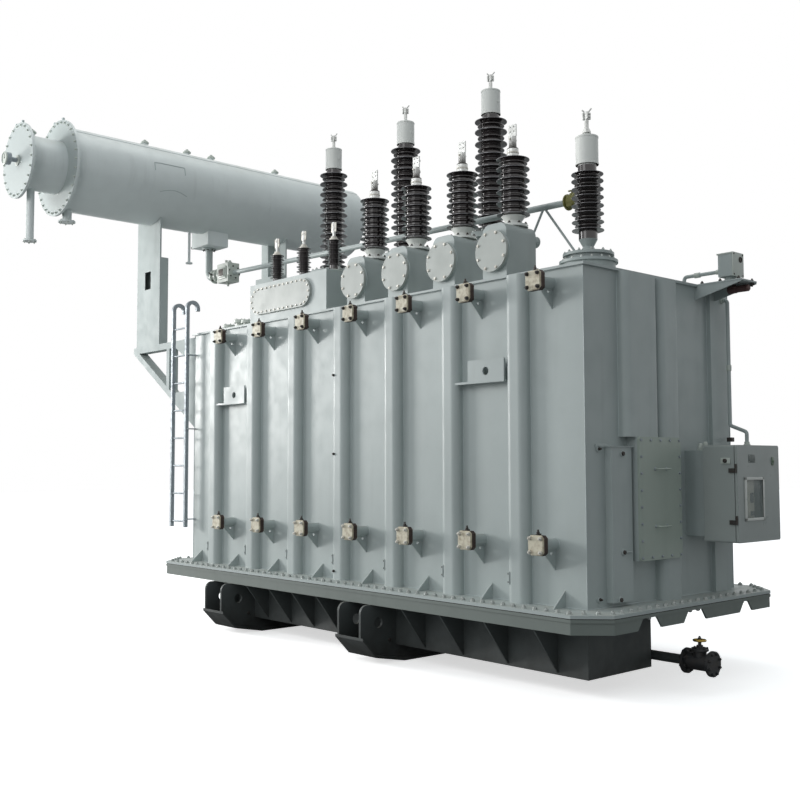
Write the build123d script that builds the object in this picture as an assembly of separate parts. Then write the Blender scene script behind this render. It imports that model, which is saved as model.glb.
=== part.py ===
from build123d import *
import os

# Oil-filled power transformer with its radiators taken off.
# X runs along the tank, +X toward the end with the control cabinet.
# The front, with the round low-voltage turret covers, faces -Y. Z is up.
# It is drawn from the middle of the tank, and every piece is written with the origin on the ground,
# in the middle of the sole of the haulage skid nearer the cabinet.

# Tank body
tank_length = 5620.0
tank_width = 2030.0
wall = 12.0
lower_tank_z = 150.0
lower_floor = 16.0
lower_step_x = 860.0
lower_step_y = -223.0
lower_depth = 456.0
flange_plate = 24.0
gasket_thickness = 6.0
gasket_inset = 8.0
flange_overhang = 300.0
flange_chamfer = 220.0
wall_rise = 2577.0
cover_plate = 20.0
cover_overhang = 25.0

half_length = tank_length / 2
half_width = tank_width / 2
lower_half_length = half_length - lower_step_x
flange_z = lower_tank_z + lower_depth
gasket_z = flange_z + flange_plate
upper_flange_z = gasket_z + gasket_thickness
wall_z = upper_flange_z + flange_plate
wall_top_z = wall_z + wall_rise
cover_z = wall_top_z + cover_plate
flange_half_length = half_length + flange_overhang
flange_half_width = half_width + flange_overhang

# Strips and gussets under the flange
skirt_depth = 86.0
skirt_plate = 16.0
skirt_inset = 6.0
slant_share = 0.41
end_skirt_taper = 66.0
# y where each strip under the end flange starts and stops, at the top
end_skirt_spans = [(-568.0, -145.0), (45.0, 671.0)]
corner_skirt_y = -740.0
gusset_plate = 14.0
gusset_foot = 14.0
lower_gusset_x = [-1300.0, -900.0, -520.0, -130.0, 1060.0, 1520.0]
end_gusset_x = [2015.0, 2520.0]
skirt_z = flange_z - skirt_depth
gusset_foot_z = lower_tank_z + gusset_foot
skirt_y = -(flange_half_width - skirt_inset)
skirt_x = flange_half_length - skirt_inset

# Upright gussets on the flange
upright_gusset_width = 140.0
upright_gusset_height = 125.0
upright_gusset_plate = 12.0
upright_gusset_shift = 90.0

# Haulage skids under the lower tank, each two webs on a sole
skid_x = [-1711.0, 524.0]
skid_half_pitch = 150.0
skid_web = 24.0
skid_overhang = 410.0
skid_nose_z = 245.0
skid_heel_overhang = 255.0
skid_heel_z = 85.0
skid_sole_inset = 75.0
skid_sole = 24.0
skid_sole_lip = 30.0
skid_nose_radius = 70.0
skid_hole_overhang = 207.0
skid_hole_z = 360.0
skid_hole_radius = 46.0
skid_tie_overhang = 80.0
skid_tie_z = 196.0
skid_tie_radius = 15.0
skid_reach = half_width + skid_overhang
skid_heel_y = half_width + skid_heel_overhang
skid_sole_y = half_width - skid_sole_inset
skid_hole_y = half_width + skid_hole_overhang
skid_tie_y = half_width + skid_tie_overhang

# Radiator stubs
stub_count = 7
stub_first_x = -1961.0
stub_pitch = 745.0
stub_low_rise = 470.0
stub_high_drop = 107.0
stub_radius = 44.5
stub_bore_radius = 39.0
stub_length = 172.0
stub_gusset_height = 200.0
stub_gusset_reach = 150.0
stub_gusset_plate = 10.0
stub_gusset_hole_radius = 12.0
stub_gusset_hole_reach = 50.0
valve_square = 152.0
valve_corner = 22.0
valve_thickness = 44.0
blank_square = 140.0
blank_corner = 26.0
blank_thickness = 12.0
valve_bolt_inset = 24.0
valve_hole_radius = 7.0
stub_low_z = wall_z + stub_low_rise
stub_high_z = wall_top_z - stub_high_drop

# Rounded stiffeners on the long walls
stiffener_width = 200.0
stiffener_depth = 88.0
stiffener_radius = 62.0
stiffener_wall = 8.0
stiffener_shift = -325.0

# Flat and rounded stiffeners on the end walls
channel_depth = 40.0
channel_wall = 8.0
far_channel_y = (671.0, 911.0)
end_round_y = (-141.0, 128.0)
wide_round_y = (-600.0, -165.0)

# Lifting brackets between stiffeners of the long walls
lifting_drop = 841.0
lifting_height = 190.0
lifting_reach = 92.0
lifting_plate = 18.0
lifting_hole_radius = 34.0
lifting_bay = [1, 6]
lifting_web_from_end = 400.0
lifting_z = wall_top_z - lifting_drop

# Cable box, access panel and its frame on the right end wall
side_box_y = (-781.0, -527.0)
side_box_rise = 36.0
side_box_height = 1170.0
side_box_depth = 62.0
side_box_ledge = 12.0
side_box_lid = 6.0
side_box_z = (wall_z + side_box_rise, wall_z + side_box_rise + side_box_height)
access_y = (-500.0, 64.0)
access_rise = 332.0
access_height = 954.0
access_depth = 96.0
access_rim = 54.0
access_frame_wall = 10.0
access_panel_plate = 20.0
access_panel_radius = 26.0
handle_y = -218.0
handle_rise = [258.0, 705.0]
handle_span = 150.0
handle_stand = 48.0
handle_rod = 7.0
handle_bend = 20.0
access_z = (wall_z + access_rise, wall_z + access_rise + access_height)
handle_z = [access_z[0] + rise for rise in handle_rise]

# Control cabinet
cabinet_y = (262.0, 912.0)
cabinet_rise = 450.0
cabinet_height = 775.0
cabinet_standoff = 193.0
cabinet_depth = 278.0
cabinet_sheet = 6.0
cabinet_rim = 26.0
cabinet_edge_radius = 18.0
cabinet_bracket_inset_y = 38.0
cabinet_bracket_inset_z = 40.0
cabinet_bracket_sheet = 8.0
door_gap = 6.0
door_depth = 24.0
door_sheet = 4.0
door_rib = 14.0
window_from_hinge = 118.0
window_width = 252.0
window_rise = 194.0
window_height = 302.0
window_frame = 18.0
window_frame_proud = 8.0
pane = 5.0
hinge_rise = [180.0, 590.0]
hinge_length = 70.0
hinge_radius = 8.0
hinge_out = 10.0
hinge_pin_radius = 4.0
hinge_leaf = 3.5
hinge_leaf_length = 44.0
hinge_play = 0.3
running_fit = 0.05
cabinet_z = (wall_z + cabinet_rise, wall_z + cabinet_rise + cabinet_height)
cabinet_back_x = half_length + cabinet_standoff
cabinet_front_x = cabinet_back_x + cabinet_depth
cabinet_bracket_y = (cabinet_y[0] + cabinet_bracket_inset_y, cabinet_y[1] - cabinet_bracket_inset_y)
cabinet_bracket_z = (cabinet_z[0] + cabinet_bracket_inset_z, cabinet_z[1] - cabinet_bracket_inset_z)
window_y = (cabinet_y[0] + window_from_hinge, cabinet_y[0] + window_from_hinge + window_width)
window_z = (cabinet_z[0] + window_rise, cabinet_z[0] + window_rise + window_height)
hinge_z = [cabinet_z[0] + rise for rise in hinge_rise]

# Junction box on a shelf at the far right corner
shelf_reach = 430.0
shelf_y = (500.0, 760.0)
shelf_plate = 12.0
shelf_rib_height = 120.0
junction_standoff = 192.0
junction_length = 137.0
junction_y = (551.0, 710.0)
junction_rise = 43.0
junction_height = 192.0
junction_radius = 12.0
junction_neck_radius = 46.0
conduit_radius = 16.0
conduit_bend = 60.0
conduit_drop = 87.0
shelf_x = half_length + shelf_reach
junction_x = (half_length + junction_standoff, half_length + junction_standoff + junction_length)
junction_z = (cover_z + junction_rise, cover_z + junction_rise + junction_height)
conduit_z = wall_top_z - conduit_drop

# Inspection box on the cover, with its long bolted cover and three small bushings
inspection_x = (-1770.0, -420.0)
inspection_inset = 65.0
inspection_width = 260.0
inspection_height = 428.0
inspection_sheet = 8.0
inspection_cover_x = (-1730.0, -665.0)
inspection_cover_rise = 93.0
inspection_cover_height = 290.0
inspection_cover_plate = 26.0
small_bushing_x = [-1510.0, -1025.0, -515.0]
small_flange_radius = 84.0
small_flange = 16.0
small_shed_radius = 76.0
small_shed_height = 250.0
small_shed_count = 5
small_core_radius = 45.6
small_neck_height = 50.0
small_terminal_height = 190.0
small_terminal_radius = 16.0
inspection_y = (-half_width + inspection_inset, -half_width + inspection_inset + inspection_width)
inspection_top_z = cover_z + inspection_height
inspection_cover_low = cover_z + inspection_cover_rise
inspection_cover_z = (inspection_cover_low, inspection_cover_low + inspection_cover_height)
small_bushing_inset = 170.0
small_bushing_y = inspection_y[0] + small_bushing_inset

# One pitch of an insulator: how far up each corner lies and how far it reaches from core to edge
shed_shares = [
    (0.00, 0.00),
    (0.04, 0.00),
    (0.10, 1.00),
    (0.16, 1.00),
    (0.34, 0.06),
    (0.54, 0.00),
    (0.60, 0.55),
    (0.65, 0.55),
    (0.80, 0.04),
]

# Low-voltage turrets and bushings
lv_count = 4
lv_first_x = -65.0
lv_pitch = 611.0
turret_inset = 153.0
turret_length = 372.0
turret_half_width = 135.0
turret_corner = 75.0
turret_rise = 263.0
turret_sheet = 8.0
turret_rim = 23.0
turret_cover_plate = 24.0
turret_cover_radius = 177.0
lv_from_face = 242.0
turret_crown = 236.0
lv_flange_radius = 126.0
lv_flange = 20.0
lv_foot_radius = 84.0
lv_neck_radius = 72.0
lv_neck_height = 32.0
lv_flare_radius = 104.0
lv_flare_height = 77.0
lv_shed_height = 496.0
lv_shed_radius = 143.0
lv_core_radius = 100.0
lv_shed_count = 5
lv_cap_height = 105.0
lv_cap_radius = 50.0
lv_rod_height = 97.0
lv_rod_radius = 33.0
lv_flag_height = 105.0
lv_flag_width = 84.0
turret_stub_shift = 53.0
turret_stub_drop = 102.0
turret_stub_radius = 50.0
turret_stub_length = 100.0
lv_flag_plate = 14.0
flag_hole_radius = 7.0
flag_hole_pitch = 40.0
turret_face_y = -half_width + turret_inset
turret_rear_y = turret_face_y + turret_length
turret_axis_z = cover_z + turret_rise
lv_y = turret_face_y + lv_from_face
lv_flange_z = turret_axis_z + turret_crown
lv_shed_z = lv_flange_z + lv_flange + lv_flare_height

# High-voltage turrets and bushings
hv_count = 3
hv_first_x = -1897.0
hv_pitch = 1277.0
hv_y = 300.0
hv_turret_radius = 232.0
hv_turret_height = 703.0
hv_flange_radius = 274.0
hv_flange = 26.0
hv_neck_height = 44.0
hv_shed_height = 1117.0
hv_shed_radius = 162.0
hv_core_radius = 100.0
hv_shed_count = 9
hv_bare_height = 60.0
hv_bare_radius = 86.0
hv_neck_radius = 120.0
hv_cap_height = 248.0
hv_cap_radius = 96.0
hv_cap_neck = 8.0
hv_cap_seat_radius = 76.0
hv_terminal_height = 168.0
hv_terminal_radius = 18.0
hv_turret_top_z = cover_z + hv_turret_height
hv_shed_z = hv_turret_top_z + 2 * hv_flange + hv_neck_height

# Neutral bushing
neutral_x = 2468.0
neutral_y = -500.0
neutral_drum_radius = 216.0
neutral_drum_height = 96.0
neutral_low_flange_radius = 236.0
neutral_collar_height = 40.0
neutral_collar_radius = 176.0
neutral_high_flange_radius = 206.0
neutral_flange = 22.0
neutral_foot_radius = 78.0
neutral_neck_radius = 44.0
neutral_neck_height = 58.0
neutral_cone_height = 117.0
neutral_bare_height = 66.0
neutral_core_radius = 76.0
neutral_shed_radius = 130.0
neutral_shed_height = 474.0
neutral_shed_count = 7
neutral_cap_height = 236.0
neutral_cap_radius = 92.0
neutral_terminal_height = 210.0
neutral_low_flange_z = cover_z + neutral_drum_height
neutral_high_flange_z = neutral_low_flange_z + neutral_flange + neutral_collar_height
neutral_shed_z = neutral_high_flange_z + neutral_flange + neutral_cone_height

# Gas header and relay
header_y = -85.0
header_x = 1938.0
header_height = 781.0
header_rise = 0.0275
header_radius = 29.0
header_valve_length = 100.0
header_valve_radius = 56.0
frame_apex_x = 1659.0
frame_feet_x = [1198.0, 2254.0]
frame_rod = 11.0
frame_foot = 70.0
riser_from_axis = 90.0
relay_from_riser = 150.0
relay_length = 440.0
relay_neck = 190.0
relay_neck_radius = 62.0
relay_width = 170.0
relay_height = 240.0
relay_flange_radius = 90.0
relay_flange = 20.0
riser_bend = 90.0
riser_radius = 46.0

# Conservator across the left end, on two columns
conservator_from_tank = 1160.0
conservator_rise = 2013.0
conservator_radius = 490.0
conservator_sheet = 8.0
conservator_y = (-2181.0, 2110.0)
conservator_dome = 140.0
conservator_plate = 30.0
conservator_plate_radius = 564.0
sump_from_axis = (-253.0, 145.0)
sump_y = (-250.0, 55.0)
sump_drop = 650.0
small_conservator_radius = 312.0
small_conservator_length = 436.0
small_plate_radius = 434.0
drop_pipe_from_plate = 309.0
drop_pipe_radius = 44.0
drop_pipe_drop = 920.0
drop_flange_radius = 78.0
drop_flange = 18.0
drain_neck_from_end = 101.0
drain_neck_drop = 630.0
vent_pipe_y = -437.0
vent_pipe_drop = 910.0
vent_pipe_radius = 17.0
vent_flange_radius = 44.0
drain_neck_radius = 55.0
drain_flange_radius = 98.0
top_fitting_y = [-1084.0, -486.0, -125.0, 890.0]
top_fitting_radius = 34.0
top_fitting_height = 70.0
gauge_radius = 70.0
gauge_depth = 60.0
gauge_stem_radius = 26.0
gauge_stem_length = 90.0
column_from_axis = (-335.0, 240.0)
column_box_rise = 1085.0
saddle_plate = 20.0
column_y = [-925.0, 870.0]
column_depth = 116.0
column_sheet = 10.0
column_hole_from_axis = -140.0
column_hole_width = 150.0
column_hole_rise = 715.0
column_hole_height = 222.0
arm_reach = 400.0
arm_drop = 12.0
arm_height = 78.0
arm_width = 120.0
brace_drop = 995.0
brace_depth = 90.0
post_from_axis = 470.0
post_width = 68.0
window_floor_drop = 540.0
bracket_pad = 220.0
bracket_pad_height = 300.0
window_corner_x = 300.0
window_corner_z = 162.0
arm_top_z = wall_top_z - arm_drop
brace_wall_z = arm_top_z - brace_drop
conservator_x = -half_length - conservator_from_tank
conservator_z = arm_top_z + conservator_rise
drain_neck_y = conservator_y[0] + drain_neck_from_end
drain_neck_z = conservator_z - drain_neck_drop
sump_x = (conservator_x + sump_from_axis[0], conservator_x + sump_from_axis[1])
sump_z = conservator_z - sump_drop
column_x = (conservator_x + column_from_axis[0], conservator_x + column_from_axis[1])
column_box_z = arm_top_z + column_box_rise
column_hole_low_x = conservator_x + column_hole_from_axis
column_hole_x = (column_hole_low_x, column_hole_low_x + column_hole_width)
column_hole_low_z = arm_top_z + column_hole_rise
column_hole_z = (column_hole_low_z, column_hole_low_z + column_hole_height)
arm_x = conservator_x - arm_reach
post_x = conservator_x + post_from_axis
riser_x = conservator_x - riser_from_axis
relay_x = (riser_x + relay_from_riser, riser_x + relay_from_riser + relay_length)
header_z = cover_z + header_height

# Ladder at the left front corner
ladder_gap = 4.0
ladder_width = 310.0
ladder_standoff = 105.0
ladder_foot_rise = 375.0
ladder_hook_rise = 398.0
ladder_hook_radius = 68.0
ladder_hook_tail = 30.0
ladder_rail = (32.0, 42.0)
ladder_rung = 10.0
rung_count = 8
rung_first_rise = 64.0
rung_pitch = 318.0
ladder_tie_rise = [85.0, 1115.0, 1965.0]
ladder_tie = 12.0
ladder_tie_lap = 40.0
ladder_x = (-half_length - ladder_gap - ladder_width, -half_length - ladder_gap)
ladder_y = -half_width - ladder_standoff
ladder_foot_z = wall_z + ladder_foot_rise
ladder_top_z = arm_top_z + ladder_hook_rise
ladder_tie_end_x = -half_length + ladder_tie_lap

# Drain line at the right end
drain_y = -175.0
drain_rise = 84.0
drain_radius = 37.0
drain_bore_radius = 33.0
drain_length = 1143.0
drain_valve_length = 240.0
drain_flange = 22.0
drain_flange_r = 96.0
drain_body_radius = 62.0
drain_bonnet_radius = 50.0
drain_bonnet_height = 111.0
drain_stem_radius = 8.0
drain_stem_height = 196.0
wheel_height = 164.0
wheel_radius = 52.0
wheel_rim = 8.0
wheel_hub_radius = 20.0
wheel_hub_height = 18.0
wheel_play = 0.3
stem_collar_radius = 13.0
wheel_spoke = 4.5
wheel_spoke_count = 5
drain_z = lower_tank_z + drain_rise
drain_end_x = lower_half_length + drain_length
drain_bonnet_z = drain_z + drain_bonnet_height
drain_stem_z = drain_z + drain_stem_height
wheel_z = drain_z + wheel_height


def block(x_span, y_span, z_span):
    """A box from its span along each axis."""
    size = [span[1] - span[0] for span in (x_span, y_span, z_span)]
    centre = [(span[0] + span[1]) / 2 for span in (x_span, y_span, z_span)]
    return Pos(*centre) * Box(*size)


def tower(x, y, z, radius, height):
    """An upright cylinder standing on z."""
    return Pos(x, y, z + height / 2) * Cylinder(radius, height)


def rod(start, end, radius):
    """A round bar between two points."""
    start_point = Vector(*start)
    reach = Vector(*end) - start_point
    plane = Plane(origin=start_point, z_dir=reach.normalized())
    return extrude(plane * Circle(radius), reach.length)


def plate_yz(points, x, thickness):
    """A flat plate square to X, from its outline in Y and Z, centred on x."""
    plane = Plane(origin=(x - thickness / 2, 0, 0), x_dir=(0, 1, 0), z_dir=(1, 0, 0))
    return extrude(plane * make_face(Polyline(*points, close=True)), thickness)


def plate_xz(points, y, thickness):
    """A flat plate square to Y, from its outline in X and Z, centred on y."""
    plane = Plane(origin=(0, y + thickness / 2, 0), x_dir=(1, 0, 0), z_dir=(0, -1, 0))
    return extrude(plane * make_face(Polyline(*points, close=True)), thickness)


def plan(points, z, height):
    """An upright prism from its outline in plan."""
    face = Pos(0, 0, z) * make_face(Polyline(*points, close=True))
    return extrude(face, height)


def chamfered_outline(half_x, half_y, corner):
    """Plan outline of a rectangle with its corners cut off."""
    points = []
    for sign_x, sign_y in ((1, -1), (1, 1), (-1, 1), (-1, -1)):
        along_x = (sign_x * (half_x - corner), sign_y * half_y)
        along_y = (sign_x * half_x, sign_y * (half_y - corner))
        points.extend([along_x, along_y] if sign_x * sign_y < 0 else [along_y, along_x])
    return points


def rectangle_outline(half_x, half_y):
    return [(-half_x, -half_y), (half_x, -half_y), (half_x, half_y), (-half_x, half_y)]


def flipped(shape):
    """The same piece on the other long side."""
    return shape.mirror(Plane.XZ)


def save(name, *shapes):
    """Write one node, as separate solids where they don't touch."""
    solids = [solid for shape in shapes for solid in shape.solids()]
    solids = [Pos(-origin_x, 0, 0) * solid for solid in solids]
    whole = solids[0] if len(solids) == 1 else Compound(children=solids)
    export_step(whole, os.path.join("parts", name + ".step"))


os.makedirs("parts", exist_ok=True)

origin_x = skid_x[-1]
stub_x = [stub_first_x + stub_pitch * index for index in range(stub_count)]
lv_x = [lv_first_x + lv_pitch * index for index in range(lv_count)]
hv_x = [hv_first_x + hv_pitch * index for index in range(hv_count)]


# Lower tank: a shallow shell, stepped back at the far right corner
lower_outline = [
    (-lower_half_length, -half_width),
    (half_length, -half_width),
    (half_length, lower_step_y),
    (lower_half_length, lower_step_y),
    (lower_half_length, half_width),
    (-lower_half_length, half_width),
]
lower_inner = [
    (-lower_half_length + wall, -half_width + wall),
    (half_length - wall, -half_width + wall),
    (half_length - wall, lower_step_y - wall),
    (lower_half_length - wall, lower_step_y - wall),
    (lower_half_length - wall, half_width - wall),
    (-lower_half_length + wall, half_width - wall),
]
lower_height = flange_z - lower_tank_z
lower_tank = plan(lower_outline, lower_tank_z, lower_height)
lower_tank -= plan(lower_inner, lower_tank_z + lower_floor, lower_height)
drain_inside = (lower_half_length - wall, drain_y, drain_z)
drain_start = (lower_half_length - wall / 2, drain_y, drain_z)
drain_end = (drain_end_x, drain_y, drain_z)
lower_tank += rod(drain_start, drain_end, drain_radius)
lower_tank -= rod(drain_inside, drain_end, drain_bore_radius)
save("lower_tank", lower_tank)

# Flanges and the gasket between them
flange_outline = chamfered_outline(flange_half_length, flange_half_width, flange_chamfer)
lower_flange = plan(flange_outline, flange_z, flange_plate)
lower_flange -= plan(lower_inner, flange_z, flange_plate)
save("lower_flange", lower_flange)

tank_inner = rectangle_outline(half_length - wall, half_width - wall)
gasket_outline = chamfered_outline(
    flange_half_length - gasket_inset, flange_half_width - gasket_inset, flange_chamfer
)
gasket = plan(gasket_outline, gasket_z, gasket_thickness)
gasket -= plan(tank_inner, gasket_z, gasket_thickness)
save("flange_gasket", gasket)

upper_flange = plan(flange_outline, upper_flange_z, flange_plate)
upper_flange -= plan(tank_inner, upper_flange_z, flange_plate)
save("upper_flange", upper_flange)

# Gussets: small upright ones on the flange and sloped ones below it
gussets = []
first_gusset_x = stub_first_x - stub_pitch + upright_gusset_shift
upright_triangle = [
    (-half_width, wall_z),
    (-half_width - upright_gusset_width, wall_z),
    (-half_width, wall_z + upright_gusset_height),
]
for index in range(stub_count + 1):
    gusset_x = first_gusset_x + stub_pitch * index
    gusset = plate_yz(upright_triangle, gusset_x, upright_gusset_plate)
    gussets.extend([gusset, flipped(gusset)])
sloped_points = [
    (-half_width, flange_z),
    (skirt_y + skirt_plate, flange_z),
    (skirt_y + skirt_plate, skirt_z),
    (-half_width, gusset_foot_z),
]
for gusset_x in lower_gusset_x:
    gusset = plate_yz(sloped_points, gusset_x, gusset_plate)
    gussets.extend([gusset, flipped(gusset)])
for gusset_x in end_gusset_x:
    gussets.append(plate_yz(sloped_points, gusset_x, gusset_plate))
save("flange_gussets", *gussets)


# Strips standing under the edge of the flange
def skirt_strip(outer_points, inward):
    """A strip standing along a run of the flange's edge."""
    inner_points = [(x + dx, y + dy) for (x, y), (dx, dy) in zip(outer_points, inward)]
    return plan(outer_points + inner_points[::-1], skirt_z, flange_z - skirt_z)


corner_x = skirt_x - flange_chamfer
corner_y = skirt_y + flange_chamfer
slant = slant_share * skirt_plate
front_run = [
    (-skirt_x, corner_skirt_y),
    (-skirt_x, corner_y),
    (-corner_x, skirt_y),
    (corner_x, skirt_y),
    (skirt_x, corner_y),
    (skirt_x, corner_skirt_y),
]
front_inward = [
    (skirt_plate, 0),
    (skirt_plate, slant),
    (slant, skirt_plate),
    (-slant, skirt_plate),
    (-skirt_plate, slant),
    (-skirt_plate, 0),
]
front_skirt = skirt_strip(front_run, front_inward)
for sign in (-1, 1):
    cut_points = [
        (corner_skirt_y, skirt_z),
        (corner_skirt_y - end_skirt_taper, skirt_z),
        (corner_skirt_y, flange_z),
    ]
    cut = plate_yz(cut_points, sign * (skirt_x - skirt_plate / 2), 2 * skirt_plate)
    front_skirt -= cut
end_strips = []
for low_y, high_y in end_skirt_spans:
    strip_points = [
        (low_y, flange_z),
        (low_y + end_skirt_taper, skirt_z),
        (high_y - end_skirt_taper, skirt_z),
        (high_y, flange_z),
    ]
    for sign in (-1, 1):
        end_strips.append(plate_yz(strip_points, sign * (skirt_x - skirt_plate / 2), skirt_plate))
save("flange_skirt", front_skirt, flipped(front_skirt), *end_strips)

# Haulage skids
skid_web_points = [
    (-skid_reach, skirt_z),
    (-skid_reach, skid_nose_z),
    (-skid_heel_y, skid_heel_z),
    (-skid_sole_y, skid_sole),
    (0, skid_sole),
    (0, lower_tank_z),
    (-half_width, lower_tank_z),
    (-half_width, skirt_z),
]
sole_points = [
    (-skid_reach, skid_nose_z),
    (-skid_reach, skid_nose_z - skid_sole),
    (-skid_heel_y, skid_heel_z - skid_sole),
    (-skid_sole_y, 0),
    (0, 0),
    (0, skid_sole),
    (-skid_sole_y, skid_sole),
    (-skid_heel_y, skid_heel_z),
]
soles = []
webs = []
for centre_x in skid_x:
    sole_width = 2 * skid_half_pitch + skid_web + 2 * skid_sole_lip
    half_sole = plate_yz(sole_points, centre_x, sole_width)
    soles.append(half_sole + flipped(half_sole))
    for sign in (-1, 1):
        web_x = centre_x + sign * skid_half_pitch
        web = plate_yz(skid_web_points, web_x, skid_web)
        nose = web.edges().filter_by(Axis.X).sort_by_distance((web_x, -skid_reach, skirt_z))[0]
        web = fillet(nose, skid_nose_radius)
        eye = Pos(web_x, -skid_hole_y, skid_hole_z) * Rot(0, 90, 0)
        tie_hole = Pos(web_x, -skid_tie_y, skid_tie_z) * Rot(0, 90, 0)
        web -= eye * Cylinder(skid_hole_radius, 2 * skid_web)
        web -= tie_hole * Cylinder(skid_tie_radius, 2 * skid_web)
        webs.append(web + flipped(web))
save("haulage_skids", *webs)
save("skid_soles", *soles)

# Walls and cover
wall_height = (wall_z, wall_top_z)
front_wall = block((-half_length, half_length), (-half_width, -half_width + wall), wall_height)
save("front_wall", front_wall)
save("rear_wall", flipped(front_wall))
between_walls = (-half_width + wall, half_width - wall)
right_end_wall = block((half_length - wall, half_length), between_walls, wall_height)
save("end_walls", right_end_wall, right_end_wall.mirror(Plane.YZ))
cover_outline = rectangle_outline(half_length + cover_overhang, half_width + cover_overhang)
cover = plan(cover_outline, wall_top_z, cover_plate)
save("cover", cover)


# Stiffeners: each a folded plate welded to the wall by its two edges
def rounded_stiffener(width, depth, low_z, high_z):
    """A rounded channel that stands on y = 0 and bulges toward -Y."""
    outer = Pos(0, -depth / 2, 0) * Rectangle(width, depth)
    round_corners = outer.vertices().group_by(Axis.Y)[0]
    outer = fillet(round_corners, stiffener_radius)
    inner = Pos(0, -(depth - stiffener_wall) / 2, 0) * Rectangle(
        width - 2 * stiffener_wall, depth - stiffener_wall
    )
    inner_corners = inner.vertices().group_by(Axis.Y)[0]
    inner = fillet(inner_corners, stiffener_radius - stiffener_wall)
    return extrude(Pos(0, 0, low_z) * (outer - inner), high_z - low_z)


def channel(y_span, low_z, high_z):
    """A shallow folded channel on the right end wall."""
    outer = block((half_length, half_length + channel_depth), y_span, (low_z, high_z))
    inner_span = (y_span[0] + channel_wall, y_span[1] - channel_wall)
    inner_x = (half_length, half_length + channel_depth - channel_wall)
    return outer - block(inner_x, inner_span, (low_z, high_z))


long_stiffener = rounded_stiffener(stiffener_width, stiffener_depth, wall_z, wall_top_z)
stiffeners = []
for x in stub_x:
    placed = Pos(x + stiffener_shift, -half_width, 0) * long_stiffener
    stiffeners.extend([placed, flipped(placed)])
upper_z = (access_z[1], wall_top_z)
lower_z = (wall_z, access_z[0])
full_z = (wall_z, wall_top_z)


def end_round(y_span, z_span):
    """A rounded stiffener on the right end wall."""
    place = Pos(half_length, sum(y_span) / 2, 0) * Rot(0, 0, 90)
    return place * rounded_stiffener(y_span[1] - y_span[0], stiffener_depth, *z_span)


for y_span, z_span in ((end_round_y, upper_z), (end_round_y, lower_z), (wide_round_y, upper_z)):
    stiffeners.append(end_round(y_span, z_span))
stiffeners.append(channel(far_channel_y, *full_z))
for y_span in (end_round_y, wide_round_y):
    stiffeners.append(end_round(y_span, full_z).mirror(Plane.YZ))
pad_low_z = brace_wall_z - bracket_pad_height
stiffeners.append(channel(far_channel_y, wall_z, pad_low_z).mirror(Plane.YZ))
save("wall_stiffeners", *stiffeners)

# Radiator stubs, each propped by a small gusset, and their blanked valves
stub_end_y = -half_width - stub_length
stubs = []
valves = []
for x in stub_x:
    for z in (stub_low_z, stub_high_z):
        pipe = rod((x, -half_width, z), (x, stub_end_y, z), stub_radius)
        prop_points = [
            (-half_width, z),
            (-half_width - stub_gusset_reach, z),
            (-half_width - stub_gusset_reach, z - stub_radius),
            (-half_width, z - stub_gusset_height),
        ]
        prop = plate_yz(prop_points, x, stub_gusset_plate)
        prop_hole_z = z - stub_radius - 2 * stub_gusset_hole_radius
        prop_hole = Pos(x, -half_width - stub_gusset_hole_reach, prop_hole_z) * Rot(0, 90, 0)
        prop -= prop_hole * Cylinder(stub_gusset_hole_radius, 2 * stub_gusset_plate)
        pipe += prop
        pipe -= rod((x, -half_width, z), (x, stub_end_y, z), stub_bore_radius)
        stubs.extend([pipe, flipped(pipe)])
        face_plane = Plane(origin=(x, stub_end_y, z), x_dir=(1, 0, 0), z_dir=(0, -1, 0))
        body_face = chamfer(Rectangle(valve_square, valve_square).vertices(), valve_corner)
        body = extrude(face_plane * body_face, valve_thickness)
        blank_face = chamfer(Rectangle(blank_square, blank_square).vertices(), blank_corner)
        body += extrude(face_plane.offset(valve_thickness) * blank_face, blank_thickness)
        bolt_pitch = valve_square - 2 * valve_bolt_inset
        for spot in GridLocations(bolt_pitch, bolt_pitch, 2, 2):
            hole = extrude(face_plane * spot * Circle(valve_hole_radius), valve_thickness + blank_thickness)
            body -= hole
        valves.extend([body, flipped(body)])
save("radiator_stubs", *stubs)
save("radiator_valves", *valves)

# Lifting brackets, each a shelf with an eyed plate between two stiffeners
brackets = []
half_stiffener = stiffener_width / 2
for bay in lifting_bay:
    high_x = stub_x[bay] + stiffener_shift - half_stiffener
    low_x = high_x - stub_pitch + stiffener_width
    reach_y = (-half_width - lifting_reach, -half_width)
    shelf = block((low_x, high_x), reach_y, (lifting_z, lifting_z + lifting_plate))
    web_x = (high_x - lifting_web_from_end, high_x)
    web_y = (-half_width - lifting_reach, -half_width - lifting_reach + lifting_plate)
    web = block(web_x, web_y, (lifting_z, lifting_z + lifting_height))
    eye_x = high_x - lifting_web_from_end / 2
    eye_z = lifting_z + lifting_height / 2
    eye = rod((eye_x, reach_y[0], eye_z), (eye_x, reach_y[1], eye_z), lifting_hole_radius)
    cheek_x = (web_x[0], web_x[0] + lifting_plate)
    cheek = block(cheek_x, reach_y, (lifting_z, lifting_z + lifting_height))
    bracket = shelf + (web - eye) + cheek
    brackets.extend([bracket, flipped(bracket)])
save("lifting_brackets", *brackets)

# Cable box on the right end wall
side_box_x = (half_length, half_length + side_box_depth)
side_box = block(side_box_x, side_box_y, side_box_z)
ledge_x = (half_length, half_length + side_box_depth + side_box_ledge)
ledge_y = (side_box_y[0] - side_box_ledge, side_box_y[1] + side_box_ledge)
side_box += block(ledge_x, ledge_y, (side_box_z[1], side_box_z[1] + side_box_lid))
save("side_box", side_box)

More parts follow.
